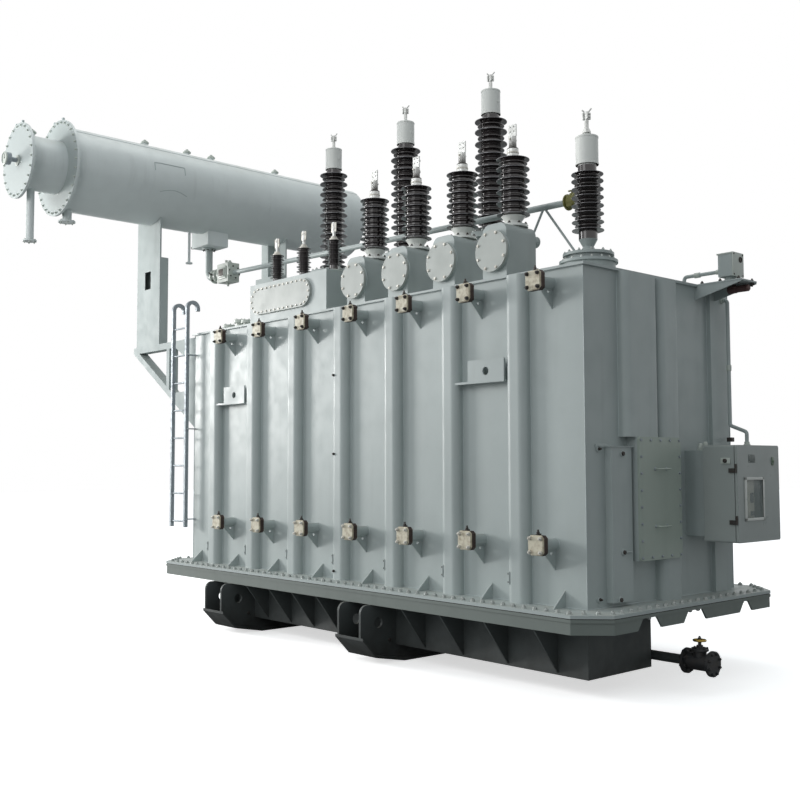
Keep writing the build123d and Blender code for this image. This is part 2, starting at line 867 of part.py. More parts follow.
# Access frame and its bolted panel
access_face_x = half_length + access_depth
frame_outer = block((half_length, access_face_x), access_y, access_z)
frame_bore_y = (access_y[0] + access_rim, access_y[1] - access_rim)
frame_bore_z = (access_z[0] + access_rim, access_z[1] - access_rim)
hollow_y = (access_y[0] + access_frame_wall, access_y[1] - access_frame_wall)
hollow_z = (access_z[0] + access_frame_wall, access_z[1] - access_frame_wall)
access_frame = frame_outer - block((half_length, access_face_x), frame_bore_y, frame_bore_z)
access_frame -= block((half_length, access_face_x - access_frame_wall), hollow_y, hollow_z)
save("access_frame", access_frame)
panel_x = (access_face_x, access_face_x + access_panel_plate)
panel = block(panel_x, access_y, access_z)
panel = fillet(panel.edges().filter_by(Axis.X), access_panel_radius)
for z in handle_z:
    low = (panel_x[1], handle_y - handle_span / 2, z)
    high = (panel_x[1], handle_y + handle_span / 2, z)
    out_low = (panel_x[1] + handle_stand, low[1], z)
    out_high = (panel_x[1] + handle_stand, high[1], z)
    path = FilletPolyline(low, out_low, out_high, high, radius=handle_bend)
    start = Plane(origin=low, z_dir=(1, 0, 0))
    panel += sweep(start * Circle(handle_rod), path=path)
save("access_panel", panel)

# Control cabinet: bracket, hollow housing, hinged door and its window
bracket_x = (half_length, cabinet_back_x)
bracket_outer = block(bracket_x, cabinet_bracket_y, cabinet_bracket_z)
bracket_hole_y = (cabinet_bracket_y[0] + cabinet_bracket_sheet, cabinet_bracket_y[1] - cabinet_bracket_sheet)
bracket_hole_z = (cabinet_bracket_z[0] + cabinet_bracket_sheet, cabinet_bracket_z[1] - cabinet_bracket_sheet)
cabinet_bracket = bracket_outer - block(bracket_x, bracket_hole_y, bracket_hole_z)
channel_x = (half_length, half_length + channel_depth)
cabinet_bracket -= block(channel_x, far_channel_y, cabinet_bracket_z)
save("cabinet_bracket", cabinet_bracket)

housing = block((cabinet_back_x, cabinet_front_x), cabinet_y, cabinet_z)
housing = fillet(housing.edges().filter_by(Axis.X), cabinet_edge_radius)
room_y = (cabinet_y[0] + cabinet_sheet, cabinet_y[1] - cabinet_sheet)
room_z = (cabinet_z[0] + cabinet_sheet, cabinet_z[1] - cabinet_sheet)
room = block((cabinet_back_x + cabinet_sheet, cabinet_front_x - cabinet_sheet), room_y, room_z)
mouth_y = (cabinet_y[0] + cabinet_rim, cabinet_y[1] - cabinet_rim)
mouth_z = (cabinet_z[0] + cabinet_rim, cabinet_z[1] - cabinet_rim)
mouth = block((cabinet_front_x - cabinet_sheet, cabinet_front_x), mouth_y, mouth_z)
housing -= room + mouth
hinge_x = cabinet_front_x + door_gap + door_depth / 2
hinge_y = cabinet_y[0] - hinge_out
leaf_x = (cabinet_front_x - hinge_leaf_length, cabinet_front_x)
for z in hinge_z:
    low_knuckle = (z - hinge_length / 2, z - hinge_play / 2)
    housing += block(leaf_x, (hinge_y - hinge_leaf, cabinet_y[0]), low_knuckle)
    housing += block((leaf_x[1], hinge_x), (hinge_y - hinge_leaf, hinge_y + hinge_leaf), low_knuckle)
    knuckle_height = low_knuckle[1] - low_knuckle[0]
    housing += tower(hinge_x, hinge_y, low_knuckle[0], hinge_radius, knuckle_height)
    housing += tower(hinge_x, hinge_y, low_knuckle[0], hinge_pin_radius, hinge_length)
save("cabinet_housing", housing)

door_x = (cabinet_front_x + door_gap, cabinet_front_x + door_gap + door_depth)
door = block(door_x, cabinet_y, cabinet_z)
door = fillet(door.edges().filter_by(Axis.X), cabinet_edge_radius)
tray_y = (cabinet_y[0] + door_rib, cabinet_y[1] - door_rib)
tray_z = (cabinet_z[0] + door_rib, cabinet_z[1] - door_rib)
door -= block((door_x[0], door_x[1] - door_sheet), tray_y, tray_z)
outer_frame_y = (window_y[0] - window_frame, window_y[1] + window_frame)
outer_frame_z = (window_z[0] - window_frame, window_z[1] + window_frame)
frame_x = (door_x[1] - door_sheet - pane, door_x[1] + window_frame_proud)
door += block(frame_x, outer_frame_y, outer_frame_z)
door -= block((door_x[0], frame_x[1]), window_y, window_z)
door_leaf_x = (hinge_x - hinge_leaf, hinge_x + hinge_leaf)
for z in hinge_z:
    high_knuckle = (z + hinge_play / 2, z + hinge_length / 2)
    knuckle_height = high_knuckle[1] - high_knuckle[0]
    door += block(door_leaf_x, (hinge_y, cabinet_y[0]), high_knuckle)
    door += tower(hinge_x, hinge_y, high_knuckle[0], hinge_radius, knuckle_height)
    pin_bore = hinge_pin_radius + running_fit
    door -= tower(hinge_x, hinge_y, high_knuckle[0], pin_bore, knuckle_height)
save("cabinet_door", door)
pane_x = (frame_x[0], frame_x[0] + pane)
save("cabinet_window", block(pane_x, window_y, window_z))

# Junction box on its shelf, with the conduits
shelf_start_x = half_length + cover_overhang
shelf_z = (cover_z - shelf_plate, cover_z)
junction = block((shelf_start_x, shelf_x), shelf_y, shelf_z)
rib_points = [
    (shelf_start_x, cover_z - shelf_plate),
    (shelf_x, cover_z - shelf_plate),
    (shelf_x, cover_z - 2 * shelf_plate),
    (half_length, cover_z - shelf_plate - shelf_rib_height),
    (half_length, wall_top_z - channel_wall),
    (shelf_start_x, wall_top_z - channel_wall),
]
for y in shelf_y:
    rib_y = y + channel_wall if y == shelf_y[0] else y - channel_wall
    junction += plate_xz(rib_points, rib_y, channel_wall)
box_mid = (sum(junction_x) / 2, sum(junction_y) / 2)
box_body = block(junction_x, junction_y, junction_z)
box_body = fillet(box_body.edges().filter_by(Axis.Z), junction_radius)
junction += tower(*box_mid, cover_z, junction_neck_radius, junction_z[0] - cover_z)
junction += box_body
junction -= block(channel_x, far_channel_y, (wall_z, wall_top_z))

conduit_points = [
    (junction_x[0], box_mid[1], junction_z[0] + conduit_bend),
    (half_length - 3 * conduit_bend, box_mid[1], junction_z[0] + conduit_bend),
    (half_length - 3 * conduit_bend, box_mid[1], cover_z),
]
conduit_path = FilletPolyline(*conduit_points, radius=conduit_bend / 2)
conduit_start = Plane(origin=conduit_points[0], z_dir=(-1, 0, 0))
conduit_a = sweep(conduit_start * Circle(conduit_radius), path=conduit_path)
drop_x = half_length + channel_depth + conduit_bend
drop_y = cabinet_y[1] - conduit_bend
inner_x = cabinet_back_x + conduit_bend
down_points = [
    (channel_x[1], drop_y, conduit_z),
    (drop_x, drop_y, conduit_z),
    (drop_x, drop_y, cabinet_z[1] + 3 * conduit_bend),
    (inner_x, drop_y, cabinet_z[1] + 2 * conduit_bend),
    (inner_x, drop_y, cabinet_z[1]),
]
down_path = FilletPolyline(*down_points, radius=conduit_bend / 2)
down_start = Plane(origin=down_points[0], z_dir=(1, 0, 0))
conduit_b = sweep(down_start * Circle(conduit_radius), path=down_path)
junction += conduit_a
save("junction_box", junction, conduit_b)

# Inspection box on the cover and its long bolted cover
inspection_box = block(inspection_x, inspection_y, (cover_z, inspection_top_z))
inner_box_x = (inspection_x[0] + inspection_sheet, inspection_x[1] - inspection_sheet)
inner_box_y = (inspection_y[0] + inspection_sheet, inspection_y[1] - inspection_sheet)
inspection_box -= block(inner_box_x, inner_box_y, (cover_z, inspection_top_z - inspection_sheet))
save("inspection_box", inspection_box)
cover_half_height = (inspection_cover_z[1] - inspection_cover_z[0]) / 2
cover_centre_x = sum(inspection_cover_x) / 2
cover_centre_z = sum(inspection_cover_z) / 2
cover_length = inspection_cover_x[1] - inspection_cover_x[0]
cover_plane = Plane(
    origin=(cover_centre_x, inspection_y[0], cover_centre_z), x_dir=(1, 0, 0), z_dir=(0, -1, 0)
)
obround = SlotOverall(cover_length, 2 * cover_half_height)
save("inspection_cover", extrude(cover_plane * obround, inspection_cover_plate))


# Bushings: every insulator is one turned profile of alternating large and small sheds
def shed_profile(core, large, height, count):
    """Half outline of the insulator, from its foot up, as radius and height."""
    pitch = height / count
    points = [(core, 0)]
    for index in range(count):
        for level_share, reach_share in shed_shares:
            level = pitch * (index + level_share)
            if level > 0:
                points.append((core + (large - core) * reach_share, level))
    top_share = shed_shares[2][0]
    points.append((core, height - top_share * pitch))
    points.append((large, height - top_share * pitch / 2))
    points.append((large, height))
    return points


def turned(points, x, y, z):
    """A solid turned about an upright axis from its half outline."""
    outline = [(0, points[0][1])] + points + [(0, points[-1][1])]
    profile = make_face(Polyline(*[(radius, 0, level) for radius, level in outline], close=True))
    return Pos(x, y, z) * revolve(profile, Axis.Z)


small_bushings = []
small_profile = shed_profile(
    small_core_radius, small_shed_radius, small_shed_height, small_shed_count
)
for x in small_bushing_x:
    bushing = tower(x, small_bushing_y, inspection_top_z, small_flange_radius, small_flange)
    neck_z = inspection_top_z + small_flange
    bushing += tower(x, small_bushing_y, neck_z, small_core_radius, small_neck_height)
    bushing += turned(small_profile, x, small_bushing_y, neck_z + small_neck_height)
    tip_z = neck_z + small_neck_height + small_shed_height
    bushing += tower(x, small_bushing_y, tip_z, small_terminal_radius, small_terminal_height)
    small_bushings.append(bushing)
save("small_bushings", *small_bushings)

# Low-voltage turrets: a box with a round bolted cover at the front and the bushing on its crown
turrets = []
turret_covers = []
lv_insulators = []
lv_fittings = []
lv_profile = shed_profile(lv_core_radius, lv_shed_radius, lv_shed_height, lv_shed_count)


def arch(half_width, crown_z, x):
    """Upright face with rounded upper corners, square to Y."""
    middle = Pos(x, (crown_z + cover_z) / 2, 0)
    face = middle * Rectangle(2 * half_width, crown_z - cover_z)
    return fillet(face.vertices().group_by(Axis.Y)[-1], turret_corner)


for x in lv_x:
    rear_plane = Plane(origin=(0, turret_rear_y, 0), x_dir=(1, 0, 0), z_dir=(0, -1, 0))
    box = extrude(rear_plane * arch(turret_half_width, lv_flange_z, x), turret_length)
    rim_y = turret_face_y - turret_rim
    mouth_start = (x, turret_face_y, turret_axis_z)
    mouth_end = (x, rim_y, turret_axis_z)
    mouth_ring = rod(mouth_start, mouth_end, turret_cover_radius - turret_sheet)
    hollow_plane = rear_plane.offset(turret_sheet)
    hollow_face = arch(turret_half_width - turret_sheet, lv_flange_z - turret_sheet, x)
    hollow = extrude(hollow_plane * hollow_face, turret_length - 2 * turret_sheet)
    stub_start = (x + turret_stub_shift, turret_rear_y, lv_flange_z - turret_stub_drop)
    stub_end = (stub_start[0], turret_rear_y + turret_stub_length, stub_start[2])
    turrets.append(box + mouth_ring + rod(stub_start, stub_end, turret_stub_radius) - hollow)
    cover_end = (x, rim_y - turret_cover_plate, turret_axis_z)
    turret_covers.append(rod(mouth_end, cover_end, turret_cover_radius))
    flare = [
        (lv_flange_radius, 0),
        (lv_flange_radius, lv_flange),
        (lv_foot_radius, lv_flange),
        (lv_neck_radius, lv_flange + lv_neck_height),
        (lv_flare_radius, lv_flange + lv_flare_height),
    ]
    lv_fittings.append(turned(flare, x, lv_y, lv_flange_z))
    lv_insulators.append(turned(lv_profile, x, lv_y, lv_shed_z))
    cap_z = lv_shed_z + lv_shed_height
    cap = tower(x, lv_y, cap_z, lv_cap_radius, lv_cap_height)
    cap = fillet(cap.edges().sort_by(Axis.Z)[-1], lv_flag_plate)
    rod_z = cap_z + lv_cap_height
    cap += tower(x, lv_y, rod_z, lv_rod_radius, lv_rod_height)
    flag_z = (rod_z + lv_rod_height, rod_z + lv_rod_height + lv_flag_height)
    flag_x = (x - lv_flag_width / 2, x + lv_flag_width / 2)
    flag_y = (lv_y - lv_flag_plate / 2, lv_y + lv_flag_plate / 2)
    flag = block(flag_x, flag_y, flag_z)
    hole_z = flag_z[1] - flag_hole_pitch
    hole_plane = Plane(origin=(x, flag_y[0], hole_z), x_dir=(1, 0, 0), z_dir=(0, 1, 0))
    for spot in GridLocations(flag_hole_pitch, flag_hole_pitch, 2, 2):
        flag -= extrude(hole_plane * spot * Circle(flag_hole_radius), lv_flag_plate)
    lv_fittings.append(cap + flag)
save("lv_turrets", *turrets)
save("lv_turret_covers", *turret_covers)
save("lv_insulators", *lv_insulators)
save("lv_fittings", *lv_fittings)

# High-voltage turrets and bushings, and the neutral bushing
hv_profile = shed_profile(hv_core_radius, hv_shed_radius, hv_shed_height, hv_shed_count)
hv_turrets = []
hv_insulators = []
caps = []


def capped_terminal(base, cap_radius, cap_height, terminal_height):
    """Expansion cap with a rod terminal, standing on a point."""
    cap = [
        (hv_cap_seat_radius, 0),
        (hv_cap_seat_radius, hv_cap_neck),
        (cap_radius, hv_cap_neck),
        (cap_radius, hv_cap_neck + cap_height),
        (hv_terminal_radius * 2, hv_cap_neck + cap_height + hv_terminal_radius),
        (hv_terminal_radius, hv_cap_neck + cap_height + hv_terminal_radius * 2),
        (hv_terminal_radius, hv_cap_neck + cap_height + terminal_height),
    ]
    return turned(cap, *base)


for x in hv_x:
    profile = [
        (hv_turret_radius, 0),
        (hv_turret_radius, hv_turret_top_z - cover_z),
        (hv_flange_radius, hv_turret_top_z - cover_z),
        (hv_flange_radius, hv_turret_top_z - cover_z + 2 * hv_flange),
        (hv_neck_radius, hv_turret_top_z - cover_z + 2 * hv_flange),
        (hv_neck_radius, hv_shed_z - cover_z),
    ]
    hv_turrets.append(turned(profile, x, hv_y, cover_z))
    insulator = turned(hv_profile, x, hv_y, hv_shed_z)
    bare_z = hv_shed_z + hv_shed_height
    insulator += tower(x, hv_y, bare_z, hv_bare_radius, hv_bare_height)
    hv_insulators.append(insulator)
    cap_base = (x, hv_y, bare_z + hv_bare_height)
    caps.append(capped_terminal(cap_base, hv_cap_radius, hv_cap_height, hv_terminal_height))
save("hv_turrets", *hv_turrets)
save("hv_insulators", *hv_insulators)

low_flange_rise = neutral_low_flange_z - cover_z
high_flange_rise = neutral_high_flange_z - cover_z
foot_rise = high_flange_rise + neutral_flange
neutral_profile = [
    (neutral_drum_radius, 0),
    (neutral_drum_radius, low_flange_rise),
    (neutral_low_flange_radius, low_flange_rise),
    (neutral_low_flange_radius, low_flange_rise + neutral_flange),
    (neutral_collar_radius, low_flange_rise + neutral_flange),
    (neutral_collar_radius, high_flange_rise),
    (neutral_high_flange_radius, high_flange_rise),
    (neutral_high_flange_radius, foot_rise),
    (neutral_foot_radius, foot_rise),
    (neutral_neck_radius, foot_rise + neutral_neck_height),
    (neutral_core_radius, neutral_shed_z - cover_z),
]
save("neutral_turret", turned(neutral_profile, neutral_x, neutral_y, cover_z))
neutral_sheds = shed_profile(
    neutral_core_radius, neutral_shed_radius, neutral_shed_height, neutral_shed_count
)
low_bare_z = neutral_shed_z
first_shed_z = low_bare_z + neutral_bare_height
high_bare_z = first_shed_z + neutral_shed_height
neutral_insulator = tower(neutral_x, neutral_y, low_bare_z, neutral_core_radius, neutral_bare_height)
neutral_insulator += turned(neutral_sheds, neutral_x, neutral_y, first_shed_z)
neutral_insulator += tower(neutral_x, neutral_y, high_bare_z, neutral_core_radius, neutral_bare_height)
save("neutral_insulator", neutral_insulator)
cap_base = (neutral_x, neutral_y, high_bare_z + neutral_bare_height)
caps.append(
    capped_terminal(cap_base, neutral_cap_radius, neutral_cap_height, neutral_terminal_height)
)
save("expansion_caps", *caps)


# Gas header, rising to the left, with its frame and the relay
def header_level(x):
    return header_z + (header_x - x) * header_rise


relay_mid_z = header_level(sum(relay_x) / 2)
header_start = (header_x, header_y, header_level(header_x))
header_end = (relay_x[1], header_y, header_level(relay_x[1]))
header = rod(header_start, header_end, header_radius)
relay_end_x = (relay_x[0], relay_x[1] + relay_flange)
clear_y = (header_y - relay_width, header_y + relay_width)
clear_z = (relay_mid_z - relay_height, relay_mid_z + relay_height)
header -= block(relay_end_x, clear_y, clear_z)
valve_start = (header_x + header_valve_length, header_y, header_level(header_x + header_valve_length))
header += rod(header_start, valve_start, header_valve_radius)
apex = (frame_apex_x, header_y, header_level(frame_apex_x))
for foot_x in frame_feet_x:
    header += rod(apex, (foot_x, header_y, cover_z), frame_rod)
    foot_span = (foot_x - frame_foot / 2, foot_x + frame_foot / 2)
    foot_y = (header_y - frame_foot / 2, header_y + frame_foot / 2)
    header += block(foot_span, foot_y, (cover_z, cover_z + channel_wall))
header -= block((-half_length, half_length), (-half_width, half_width), (wall_top_z, cover_z))
riser_points = [
    (relay_x[0], header_y, relay_mid_z),
    (riser_x, header_y, relay_mid_z),
    (riser_x, header_y, sump_z),
]
riser_path = FilletPolyline(*riser_points, radius=riser_bend)
riser_start = Plane(origin=riser_points[0], z_dir=(-1, 0, 0))
riser = sweep(riser_start * Circle(riser_radius), path=riser_path)
riser += tower(riser_x, header_y, sump_z - relay_flange, relay_flange_radius, relay_flange)
save("header_pipe", header, riser)
relay_z = (relay_mid_z - relay_height / 2, relay_mid_z + relay_height / 2)
relay_y = (header_y - relay_width / 2, header_y + relay_width / 2)
relay_body_x = (relay_x[0] + relay_neck, relay_x[1])
relay = block(relay_body_x, relay_y, relay_z)
relay_rounds = [
    (relay_x[0], relay_x[0] + relay_flange, relay_flange_radius),
    (relay_x[0] + relay_flange, relay_body_x[0] - relay_flange, relay_neck_radius),
    (relay_body_x[0] - relay_flange, relay_body_x[0], relay_flange_radius),
    (relay_body_x[1], relay_end_x[1], relay_flange_radius),
]
for start_x, end_x, radius in relay_rounds:
    relay += rod((start_x, header_y, relay_mid_z), (end_x, header_y, relay_mid_z), radius)
save("gas_relay", relay)

# Conservator with a flat front plate, a dished far end and a sump
def ring_y(start_y, end_y, radius, z=conservator_z):
    return rod((conservator_x, start_y, z), (conservator_x, end_y, z), radius)


shell = ring_y(*conservator_y, conservator_radius)
inner_radius = conservator_radius - conservator_sheet
dome_depth = conservator_dome
sphere_radius = (conservator_radius**2 + dome_depth**2) / (2 * dome_depth)
sphere_y = conservator_y[1] + dome_depth - sphere_radius
dome = Pos(conservator_x, sphere_y, conservator_z) * Sphere(sphere_radius)
dome &= ring_y(conservator_y[1], conservator_y[1] + 2 * dome_depth, conservator_radius)
sump = block(sump_x, sump_y, (sump_z, conservator_z))
shell = shell + dome + sump
shell -= ring_y(*conservator_y, inner_radius)
plate_y = conservator_y[0] - conservator_plate
shell += ring_y(plate_y, conservator_y[0], conservator_plate_radius)
neck_top = conservator_z - inner_radius
neck = tower(conservator_x, drain_neck_y, drain_neck_z, drain_neck_radius, neck_top - drain_neck_z)
neck += tower(conservator_x, drain_neck_y, drain_neck_z, drain_flange_radius, drop_flange)
vent_z = conservator_z - vent_pipe_drop
neck += tower(conservator_x, vent_pipe_y, vent_z, vent_pipe_radius, neck_top - vent_z)
neck += tower(conservator_x, vent_pipe_y, vent_z, vent_flange_radius, drop_flange)
shell += neck
for y in top_fitting_y:
    fitting_z = conservator_z + inner_radius
    shell += tower(conservator_x, y, fitting_z, top_fitting_radius, top_fitting_height)
save("conservator", shell)

small_start = plate_y - small_conservator_length
drop_pipe_y = plate_y - drop_pipe_from_plate
drop_pipe_z = conservator_z - drop_pipe_drop
small_shell = ring_y(small_start, plate_y, small_conservator_radius)
small_shell -= ring_y(small_start, plate_y, small_conservator_radius - conservator_sheet)
small_shell += ring_y(small_start - conservator_plate, small_start, small_plate_radius)
pipe_top = conservator_z - small_conservator_radius + conservator_sheet
small_shell += tower(conservator_x, drop_pipe_y, drop_pipe_z, drop_pipe_radius, pipe_top - drop_pipe_z)
small_shell += tower(conservator_x, drop_pipe_y, drop_pipe_z, drop_flange_radius, drop_flange)
small_fitting_z = conservator_z + small_conservator_radius - conservator_sheet
small_shell += tower(conservator_x, drop_pipe_y, small_fitting_z, top_fitting_radius, top_fitting_height)
save("tapchanger_conservator", small_shell)

gauge_y = small_start - conservator_plate
gauge = ring_y(gauge_y - gauge_stem_length, gauge_y, gauge_stem_radius)
gauge += ring_y(gauge_y - gauge_stem_length - gauge_depth, gauge_y - gauge_stem_length, gauge_radius)
save("level_gauge", gauge)

# Columns and wall brackets under the conservator
supports = []
clear_cylinder = ring_y(*conservator_y, conservator_radius)
arm_low_z = arm_top_z - arm_height
brace_low_z = brace_wall_z - brace_depth
brace_slope = (brace_low_z - arm_low_z) / (-half_length - arm_x)
post_left = post_x - post_width / 2
post_right = post_x + post_width / 2
pad_x = -half_length - bracket_pad
window_floor_z = arm_low_z - window_floor_drop


def brace_top(x):
    """Height of the upper edge of the sloping brace."""
    return arm_low_z + brace_depth + brace_slope * (x - arm_x)


for y in column_y:
    depth_y = (y - column_depth / 2, y + column_depth / 2)
    column = block(column_x, depth_y, (arm_top_z, column_box_z))
    inner_column_x = (column_x[0] + column_sheet, column_x[1] - column_sheet)
    inner_column_y = (depth_y[0] + column_sheet, depth_y[1] - column_sheet)
    column -= block(inner_column_x, inner_column_y, (arm_top_z, column_box_z - column_sheet))
    column -= block(column_hole_x, (depth_y[0], y), column_hole_z)
    saddle_y = depth_y[0] if y < 0 else depth_y[1] - saddle_plate
    column += block(column_x, (saddle_y, saddle_y + saddle_plate), (column_box_z, conservator_z))
    rib_x = ((sum(column_x) - saddle_plate) / 2, (sum(column_x) + saddle_plate) / 2)
    column += block(rib_x, depth_y, (column_box_z, conservator_z))
    column -= clear_cylinder
    frame_points = [
        (arm_x, arm_top_z),
        (arm_x, arm_low_z),
        (-half_length, brace_low_z),
        (-half_length, arm_top_z),
    ]
    bracket = plate_xz(frame_points, y, arm_width)
    left_hole = [
        (arm_x - brace_depth / brace_slope, arm_low_z),
        (post_left, brace_top(post_left)),
        (post_left, arm_low_z),
    ]
    floor_x = arm_x + (window_floor_z - arm_low_z - brace_depth) / brace_slope
    right_hole = [
        (post_right, arm_low_z),
        (post_right, max(brace_top(post_right), window_floor_z)),
        (max(floor_x, post_right), window_floor_z),
        (pad_x, window_floor_z),
        (pad_x, arm_low_z - window_corner_z),
        (pad_x - window_corner_x, arm_low_z),
    ]
    bracket -= plate_xz(left_hole, y, 2 * arm_width)
    bracket -= plate_xz(right_hole, y, 2 * arm_width)
    supports.append(column + bracket)
save("conservator_supports", *supports)

# Ladder whose rails end in hooks for the hands
ladder = None
hook_z = ladder_top_z - ladder_hook_radius
hook_end_y = ladder_y + 2 * ladder_hook_radius
for x in ladder_x:
    rail_x = (x - ladder_rail[0] / 2, x + ladder_rail[0] / 2)
    rail_y = (ladder_y - ladder_rail[1] / 2, ladder_y + ladder_rail[1] / 2)
    rail = block(rail_x, rail_y, (ladder_foot_z, hook_z))
    hook_path = ThreePointArc(
        (x, ladder_y, hook_z),
        (x, ladder_y + ladder_hook_radius, ladder_top_z),
        (x, hook_end_y, hook_z),
    )
    hook_start = Plane(origin=(x, ladder_y, hook_z), x_dir=(1, 0, 0), z_dir=(0, 0, 1))
    rail += sweep(hook_start * Rectangle(*ladder_rail), path=hook_path)
    tail_y = (hook_end_y - ladder_rail[1] / 2, hook_end_y + ladder_rail[1] / 2)
    rail += block(rail_x, tail_y, (hook_z - ladder_hook_tail, hook_z))
    ladder = rail if ladder is None else ladder + rail
for index in range(rung_count):
    z = ladder_foot_z + rung_first_rise + rung_pitch * index
    ladder += rod((ladder_x[0], ladder_y, z), (ladder_x[1], ladder_y, z), ladder_rung)
for rise in ladder_tie_rise:
    z = ladder_foot_z + rise
    tie_x = (ladder_x[1], ladder_tie_end_x)
    ladder += block(tie_x, (ladder_y - ladder_rung, -half_width), (z, z + ladder_tie))
save("ladder", ladder)

# Gate valve of the drain line and its handwheel
valve_end_x = drain_end_x + drain_valve_length
valve_end = (valve_end_x, drain_y, drain_z)
valve_axis_x = drain_end_x + drain_valve_length / 2
valve = rod(drain_end, valve_end, drain_body_radius)
valve += rod(drain_end, (drain_end_x + drain_flange, drain_y, drain_z), drain_flange_r)
valve += rod((valve_end_x - drain_flange, drain_y, drain_z), valve_end, drain_flange_r)
valve += tower(valve_axis_x, drain_y, drain_z, drain_bonnet_radius, drain_bonnet_z - drain_z)
valve += tower(valve_axis_x, drain_y, drain_bonnet_z, drain_stem_radius, drain_stem_z - drain_bonnet_z)
collar_height = wheel_z - wheel_hub_height / 2 - wheel_play - drain_bonnet_z
valve += tower(valve_axis_x, drain_y, drain_bonnet_z, stem_collar_radius, collar_height)
save("drain_valve", valve)
hub_bore = drain_stem_radius + running_fit
wheel = Cylinder(wheel_hub_radius, wheel_hub_height) - Cylinder(hub_bore, wheel_hub_height)
spoke_start = (wheel_hub_radius + hub_bore) / 2
spoke_end = wheel_radius - wheel_rim
spoke = rod((spoke_start, 0, 0), (spoke_end, 0, 0), wheel_spoke)
for index in range(wheel_spoke_count):
    wheel += Rot(0, 0, 360 * index / wheel_spoke_count) * spoke
wheel += Torus(wheel_radius - wheel_rim, wheel_rim)
save("drain_handwheel", Pos(valve_axis_x, drain_y, wheel_z) * wheel)
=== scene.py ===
import math
from itertools import product
import bpy
import bmesh
from mathutils import Matrix, Vector


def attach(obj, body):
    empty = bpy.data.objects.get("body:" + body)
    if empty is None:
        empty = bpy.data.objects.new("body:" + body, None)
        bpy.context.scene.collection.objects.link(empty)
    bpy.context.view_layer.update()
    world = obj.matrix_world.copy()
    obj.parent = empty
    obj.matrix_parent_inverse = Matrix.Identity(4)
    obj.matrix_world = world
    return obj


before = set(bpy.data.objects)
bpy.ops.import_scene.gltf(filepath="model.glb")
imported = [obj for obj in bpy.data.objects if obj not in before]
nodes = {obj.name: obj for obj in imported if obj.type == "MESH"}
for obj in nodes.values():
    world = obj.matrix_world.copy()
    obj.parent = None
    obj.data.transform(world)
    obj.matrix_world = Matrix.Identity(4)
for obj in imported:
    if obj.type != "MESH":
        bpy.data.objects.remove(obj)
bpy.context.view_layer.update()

# Everything below is in millimetres from the middle of the tank, on the ground.
# The row frame is in metres, with its origin under the skid nearer the cabinet.
MM = 0.001
ORIGIN_X = 524.0


def place(point):
    """A point in the row frame, in metres."""
    return Vector(((point[0] - ORIGIN_X) * MM, point[1] * MM, point[2] * MM))


# Main places of the tank, as the solids have them
HALF_LENGTH = 2810.0
HALF_WIDTH = 1015.0
FLANGE_UNDER_Z = 606.0
FLANGE_TOP_Z = 660.0
FLANGE_HALF_LENGTH = 3110.0
FLANGE_HALF_WIDTH = 1315.0
FLANGE_CORNER = 220.0
WALL_TOP_Z = 3237.0
COVER_Z = 3257.0
STUB_PITCH = 745.0
STUB_X = [-1961.0 + STUB_PITCH * index for index in range(7)]
STUB_Z = (1130.0, 3130.0)
STIFFENER_SHIFT = -325.0
LV_PITCH = 611.0
LV_X = [-65.0 + LV_PITCH * index for index in range(4)]
LV_Y = -620.0
HV_PITCH = 1277.0
HV_X = [-1897.0 + HV_PITCH * index for index in range(3)]
HV_Y = 300.0
NEUTRAL = (2468.0, -500.0)
CONSERVATOR_X = -3970.0
CONSERVATOR_Z = 5238.0
CONSERVATOR_RADIUS = 490.0

# Faces that meet at more than this angle keep a sharp edge
SHARP_ANGLE = math.radians(32.0)

# Camera at the photograph's viewing angle, its focal length as a share of the frame's width
AZIMUTH = math.radians(48.19)
PITCH = math.radians(3.65)
ROLL = math.radians(-0.16)
FOCAL_SHARE = 1025.8 / 800.0
SENSOR = 36.0
CAMERA_SPOT = (7583.0, -7131.0, 1730.0)
VIEW_REACH = 200.0

level = math.cos(PITCH)
forward = Vector((-math.sin(AZIMUTH) * level, math.cos(AZIMUTH) * level, math.sin(PITCH)))
level_right = Vector((math.cos(AZIMUTH), math.sin(AZIMUTH), 0.0))
level_up = level_right.cross(forward)
right = level_right * math.cos(ROLL) + level_up * math.sin(ROLL)
up = level_up * math.cos(ROLL) - level_right * math.sin(ROLL)
camera_data = bpy.data.cameras.new("camera")
camera_data.sensor_width = SENSOR
camera_data.lens = SENSOR * FOCAL_SHARE
camera_data.clip_end = VIEW_REACH
camera = bpy.data.objects.new("camera", camera_data)
bpy.context.scene.collection.objects.link(camera)
turn = Matrix((right, up, -forward)).transposed().to_4x4()
camera.matrix_world = Matrix.Translation(place(CAMERA_SPOT)) @ turn
bpy.context.scene.camera = camera
bpy.context.scene.view_settings.view_transform = "Standard"


